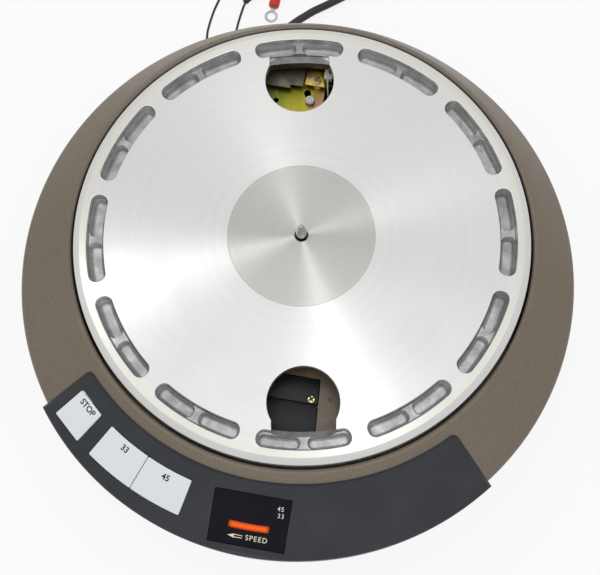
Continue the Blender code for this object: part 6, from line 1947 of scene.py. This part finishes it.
@dataclass
class UnderPlatter:
    """The zinc plate and what shows through the finger holes."""

    gap: float = 0.0003
    plate_radius: float = 0.154
    plate_hole: float = 0.014
    plate_base: float = 0.0907
    plate_top: float = 0.0927
    ledge_top: float = 0.097
    small_hole: tuple[float, float] = (-0.0390, 0.1102)
    pins: tuple[tuple[float, float], ...] = ((-0.0142, 0.1130), (0.0520, 0.0960), (-0.0520, 0.0790))
    pin_radius: float = 0.0035
    keyhole_end: tuple[float, float] = (-0.0172, 0.1196)
    keyhole_radius: float = 0.0026
    lead_slot: tuple[float, float, float, float] = (-0.0048, 0.0040, 0.1120, 0.1275)
    bracket_outline: tuple[tuple[float, float], ...] = (
        (-0.0200, 0.1235), (-0.0050, 0.1235), (-0.0050, 0.1285), (-0.0004, 0.1285), (-0.0004, 0.1515),
        (-0.0200, 0.1515))
    sheet: float = 0.0012
    screw_place: tuple[float, float] = (-0.0110, 0.1274)
    shield_outline: tuple[tuple[float, float], ...] = (
        (-0.052, 0.119), (-0.030, 0.119), (-0.030, 0.1218), (-0.0209, 0.1218), (-0.0209, 0.145),
        (-0.052, 0.145))
    rear_cover: tuple[tuple[float, float], ...] = (
        (-0.0300, -0.1082), (0.0301, -0.1082), (0.0288, -0.0902), (-0.0300, -0.0902))
    front_cover: tuple[tuple[float, float], ...] = (
        (-0.0300, -0.1300), (0.0317, -0.1300), (0.0301, -0.1087), (-0.0300, -0.1087))
    cover_screw: tuple[float, float] = (0.0251, -0.1050)

    def plate(self) -> bpy.types.Object:
        """The chassis plate with its holes and its keyhole."""
        plate = Mould().lathe([
            (self.plate_hole, self.plate_base, 0.0003), (self.plate_radius, self.plate_base, 0.0004),
            (self.plate_radius, self.plate_top, 0.0004), (self.plate_hole, self.plate_top, 0.0003)],
            180).done("zinc_plate")
        mid = (self.plate_base + self.plate_top) / 2
        places = [(*self.small_hole, 0.002)] + [(*pin, 0.0023) for pin in self.pins]
        places += [(*polar(0.151, 15 + 120 * turn), 0.0018) for turn in range(3)]
        places += [(*polar(0.0596, 45 + 120 * turn), 0.0023) for turn in range(3)]
        places += [(0.102, -0.0275, 0.0023), (0.102, 0.0275, 0.0023), (*self.keyhole_end, self.keyhole_radius)]
        holes = [Mould().lathe([(0, mid - 0.004), (radius, mid - 0.004), (radius, mid + 0.004),
                                (0, mid + 0.004)], 32, (x, y)).done(f"plate_hole_{index}")
                 for index, (x, y, radius) in enumerate(places)]
        slot = Mould()
        start, end = Vector(self.pins[0]), Vector(self.keyhole_end)
        across = (end - start).normalized().orthogonal() * 0.0023
        face = slot.face([start - across, end - across, end + across, start + across], mid - 0.004)
        slot.raise_face(face, 0.008)
        combine(plate, holes, Way.CUT)
        left, right, front, back = self.lead_slot
        way = self.block("lead_slot", (left, right), (front, back), (mid - 0.004, mid + 0.004), 0.0002, 0.002)
        return combine(plate, [slot.done("keyhole_slot"), way], Way.CUT)

    def pin(self, number: int) -> bpy.types.Object:
        """A nylon pin: domed head, neck, barrel and foot."""
        head, neck = self.plate_top + self.gap, 0.002
        profile = [
            (0, 0.0577), (self.pin_radius, 0.0577, 0.0006), (self.pin_radius, 0.0597), (neck, 0.0597),
            (neck, 0.0619), (self.pin_radius, 0.0619, 0.0003), (self.pin_radius, 0.0904, 0.0003),
            (neck, 0.0904), (neck, head), (self.pin_radius, head, 0.0003),
            (self.pin_radius, head + 0.004, 0.0011), (0.0012, head + 0.004, 0.0003), (0.0009, head + 0.0032),
            (0, head + 0.0032)]
        return Mould().lathe(profile, 40, self.pins[number]).done(f"nylon_pin_{number + 1}")

    def bracket(self) -> bpy.types.Object:
        """The pulse head's bracket with its boss."""
        mould = Mould()
        face = mould.face(self.bracket_outline, self.ledge_top + self.gap)
        mould.round_corners(list(face.verts), 0.0008, 4)
        face = max(mould.mesh.faces, key=lambda item: item.calc_area())
        mould.raise_face(face, self.sheet)
        mould.soften_sharp(0.0003, 2, 60)
        piece = mould.done("head_sheet")
        foot = self.plate_top + self.gap
        boss = Mould().lathe([(0, foot), (0.004, foot, 0.0003), (0.004, self.ledge_top + 0.0009),
                              (0, self.ledge_top + 0.0009)], 40, self.screw_place).done("boss")
        return combine(piece, [boss], Way.ADD)

    def hexagon_screw(self) -> bpy.types.Object:
        """The bracket's hexagon-headed screw on its washer face."""
        seat = self.ledge_top + 2 * self.gap + self.sheet
        head = Mould().lathe([
            (0, seat - 0.004), (0.0014, seat - 0.004), (0.0014, seat), (0.0029, seat), (0.0029, seat + 0.0020),
            (0, seat + 0.0020)], 6, self.screw_place)
        head.soften_sharp(0.00022, 2, 20)
        return head.done("hexagon_screw", 20)

    def block(self, name: str, across: Point, along: Point, heights: Point, edge: float,
              corner: float = 0.0) -> bpy.types.Object:
        """A moulded block with softened edges.

        Args:
            name: The piece's name.
            across: Its X range.
            along: Its Y range.
            heights: Its Z range.
            edge: Width of its softened edges.
            corner: Radius of its upright corners.

        Returns:
            The block.
        """
        mould = Mould()
        face = mould.face([(across[0], along[0]), (across[1], along[0]), (across[1], along[1]),
                           (across[0], along[1])], heights[0])
        if corner:
            mould.round_corners(list(face.verts), corner, 5)
            face = max(mould.mesh.faces, key=lambda item: item.calc_area())
        mould.raise_face(face, heights[1] - heights[0])
        mould.soften_sharp(edge, 3, 60)
        return mould.done(name)

    def cover(self, name: str, corners: Sequence[Point], heights: Point) -> bpy.types.Object:
        """One flat cover with small rounded edges.

        Args:
            name: The piece's name.
            corners: Its outline.
            heights: Its lower and upper height.

        Returns:
            The cover.
        """
        mould = Mould()
        mould.raise_face(mould.face(corners, heights[0]), heights[1] - heights[0])
        return mould.outward().soften_sharp(0.0007, 3).done(name)

    def cross_screw(self, name: str, place: Point, seat: float, down: float, radius: float) -> bpy.types.Object:
        """A pan-headed screw with a cross recess, its head up.

        Args:
            name: The piece's name.
            place: Where it stands.
            seat: Height under its head.
            down: Length of its shank.
            radius: Radius of its head.

        Returns:
            The screw.
        """
        shank = radius / 2
        screw = Mould().lathe([
            (0, seat - down), (shank - 0.0003, seat - down), (shank, seat - down + 0.0004), (shank, seat),
            (radius, seat, 0.0002), (radius, seat + 0.0016, 0.0010), (0, seat + 0.0016)], 40, place).done(name)
        for turn in (40, 130):
            arm = Mould()
            face = arm.face([(-0.0019, -0.0006), (0.0019, -0.0006), (0.0019, 0.0006), (-0.0019, 0.0006)], 0)
            lid = arm.raise_face(face, 0.003)
            bmesh.ops.scale(arm.mesh, vec=(1.1, 1.4, 1), verts=list(lid.verts))
            arm.place(Matrix.Translation((place[0], place[1], seat + 0.0003))
                      @ Matrix.Rotation(math.radians(turn), 4, "Z"))
            combine(screw, [arm.done(f"arm_{turn}")], Way.CUT)
        return screw

    def head_wire(self) -> bpy.types.Object:
        """The thin white wire from the pulse head down to the plate."""
        seat = self.ledge_top + 2 * self.gap + self.sheet + 0.0017
        knots = [(-0.0037, 0.1289, seat), (-0.0037, 0.1275, seat), (-0.0028, 0.1231, seat - 0.0012),
                 (-0.0018, 0.1187, 0.0927), (-0.0018, 0.1187, 0.0631), (-0.0018, 0.1187, 0.0619)]
        points = Route().smooth([Vector(knot) for knot in knots], 0.0008)
        line = Route.lead("wire_line", points, 0.0012)
        graph = bpy.context.evaluated_depsgraph_get()
        mesh = bpy.data.meshes.new_from_object(line.evaluated_get(graph), depsgraph=graph)
        bpy.data.objects.remove(line)
        mould = Mould()
        mould.mesh.from_mesh(mesh)
        bpy.data.meshes.remove(mesh)
        bmesh.ops.remove_doubles(mould.mesh, verts=mould.mesh.verts, dist=1e-7)
        return mould.done("white_wire")

    def build(self) -> None:
        """Makes and seats the pieces."""
        show(self.plate(), Finish.PLATE, Body.BASE, ["chassis_plate"])
        for number in range(len(self.pins)):
            show(self.pin(number), Finish.NYLON, Body.BASE, [f"board_support_{number + 1}"])
        show(self.bracket(), Finish.BRACKET, Body.BASE, ["head_bracket"])
        show(self.hexagon_screw(), Finish.GILT, Body.BASE, ["head_screw"])
        seat = self.ledge_top + 2 * self.gap + self.sheet
        head = self.block("white_pulse_head", (-0.0068, -0.0006), (0.1290, 0.1430), (seat, seat + 0.0034), 0.0004)
        show(head, Finish.NYLON, Body.BASE, ["pulse_head"])
        show(self.head_wire(), Finish.NYLON, Body.BASE, ["head_lead"])
        shield = Mould()
        low = self.ledge_top + self.gap
        shield.raise_face(shield.face(self.shield_outline, low), 0.001)
        shield.soften_sharp(0.0003, 2, 60)
        show(shield.done("dark_shield"), Finish.SHIELD, Body.BASE, ["shield_plate"])
        low = self.plate_top + self.gap
        rear = self.cover("rear_cover", self.rear_cover, (low, low + 0.004))
        front = self.cover("front_cover", self.front_cover, (low, low + 0.0032))
        show(rear, Finish.COVER, Body.BASE, ["lamp_cover_rear"])
        show(front, Finish.COVER, Body.BASE, ["lamp_cover_front"])
        screw = self.cross_screw("cover_cross_screw", self.cover_screw, low + 0.0043, 0.003, 0.003)
        # The faces inside the cross recess take the dark tone: painted shade in the recess.
        for face in screw.data.polygons:
            away = math.dist(face.center.xy, self.cover_screw)
            if away < 0.0022 and low + 0.0044 < face.center.z < low + 0.0057:
                face.material_index = 1
        show(screw, Finish.GILT, Body.BASE, ["cover_screw"], [Finish.RECESS_PAINTED_SHADE])


@dataclass
class BottomCan:
    """The can below the ring, with its flange, ports and screws."""

    radius: float = 0.1465
    wall: float = 0.0012
    edge: float = 0.0025
    flange_reach: float = 0.154
    flange_base: float = 0.0892
    top: float = 0.0904
    screw_ring: float = 0.151
    ports: tuple[tuple[float, float, float], ...] = ((0.0053, 0.015, 112), (0.0048, 0.011, 121))

    def can(self) -> bpy.types.Object:
        """The drawn steel can."""
        inner = self.radius - self.wall
        body = Mould().lathe([
            (0, 0), (0.124, 0, 0.001), (0.1255, 0.0008, 0.001), (0.137, 0.0008, 0.001), (0.1385, 0, 0.001),
            (self.radius, 0, self.edge), (self.radius, self.flange_base, 0.0009),
            (self.flange_reach, self.flange_base, 0.0004), (self.flange_reach, self.top, 0.0004),
            (inner, self.top, 0.0011), (inner, self.wall, 0.0014), (0.1385, self.wall, 0.001),
            (0.137, self.wall + 0.0008, 0.001), (0.1255, self.wall + 0.0008, 0.001), (0.124, self.wall, 0.001),
            (0, self.wall)], 240).done("drawn_can")
        holes = []
        for radius, height, degrees in self.ports:
            lay = (Matrix.Translation((0, 0, height)) @ Matrix.Rotation(math.radians(degrees), 4, "Z")
                   @ Matrix.Rotation(math.radians(90), 4, "Y"))
            port = Mould().lathe([(0, inner - 0.006), (radius, inner - 0.006), (radius, self.radius + 0.006),
                                  (0, self.radius + 0.006)], 40)
            holes.append(port.place(lay).done(f"port_{degrees}"))
        for turn in range(3):
            place = polar(self.screw_ring, 15 + 120 * turn)
            holes.append(Mould().lathe([
                (0, self.flange_base - 0.003), (0.0018, self.flange_base - 0.003), (0.0018, self.top + 0.003),
                (0, self.top + 0.003)], 24, place).done(f"flange_hole_{turn}"))
        return combine(body, holes, Way.CUT)

    def build(self) -> None:
        """Makes and seats the can and its screws."""
        show(self.can(), Finish.DARK_PAINT, Body.BASE, ["bottom_can"])
        for turn in range(3):
            place = polar(self.screw_ring, 15 + 120 * turn)
            screw = UnderPlatter().cross_screw(
                f"flange_screw_{turn + 1}", (0, 0), 0, 0.0065, 0.003)
            screw.data.transform(Matrix.Translation((place.x, place.y, self.flange_base - 0.0003))
                                 @ Matrix.Rotation(math.pi, 4, "X"))
            show(screw, Finish.WHITE_ZINC, Body.BASE, [f"can_screw_{turn + 1}"])


@dataclass
class CarriedOver:
    """Finishes for the hidden solids that keep their own shape."""

    finishes: tuple[tuple[Finish, tuple[str, ...]], ...] = (
        (Finish.BRONZE, ("bearing_bushing",)),
        (Finish.TURNED, ("bearing_housing",)),
        (Finish.BLUE_SLEEVE, ("board_capacitor",)),
        (Finish.DARK_PAINT, ("motor_cover",)),
        (Finish.WHITE_ZINC, ("motor_screw_1", "motor_screw_2", "motor_screw_3", "transformer_screw_1",
                             "transformer_screw_2", "panel_screw_1", "panel_screw_2", "panel_screw_3",
                             "switch_plate")),
        (Finish.LAMP, ("neon_lamp",)),
        (Finish.BOARD, ("servo_board",)),
        (Finish.LAMINATED, ("stator_core", "transformer_core")),
        (Finish.COPPER, ("stator_winding",)),
        (Finish.COVER, ("switch_block",)),
        (Finish.STEEL, ("thrust_ball",)),
        (Finish.NYLON, ("thrust_cap",)),
        (Finish.TAPE, ("transformer_winding",)))

    def build(self, nodes: dict[str, bpy.types.Object]) -> None:
        """Dresses the solids.

        Args:
            nodes: The frame's solids by name.
        """
        for finish, names in self.finishes:
            for name in names:
                finish.dress(nodes[name])


def main() -> None:
    """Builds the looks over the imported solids."""
    logging.basicConfig(level=logging.INFO, format="%(message)s")
    Studio().build()
    MainsLead().build()
    ThinLeads().build()
    PlatterSet().build()
    RotorSet().build()
    ChassisRing().build()
    PanelSet().build()
    UnderPlatter().build()
    BottomCan().build()
    CarriedOver().build(frame["nodes"])


if __name__ == "__main__":
    main()
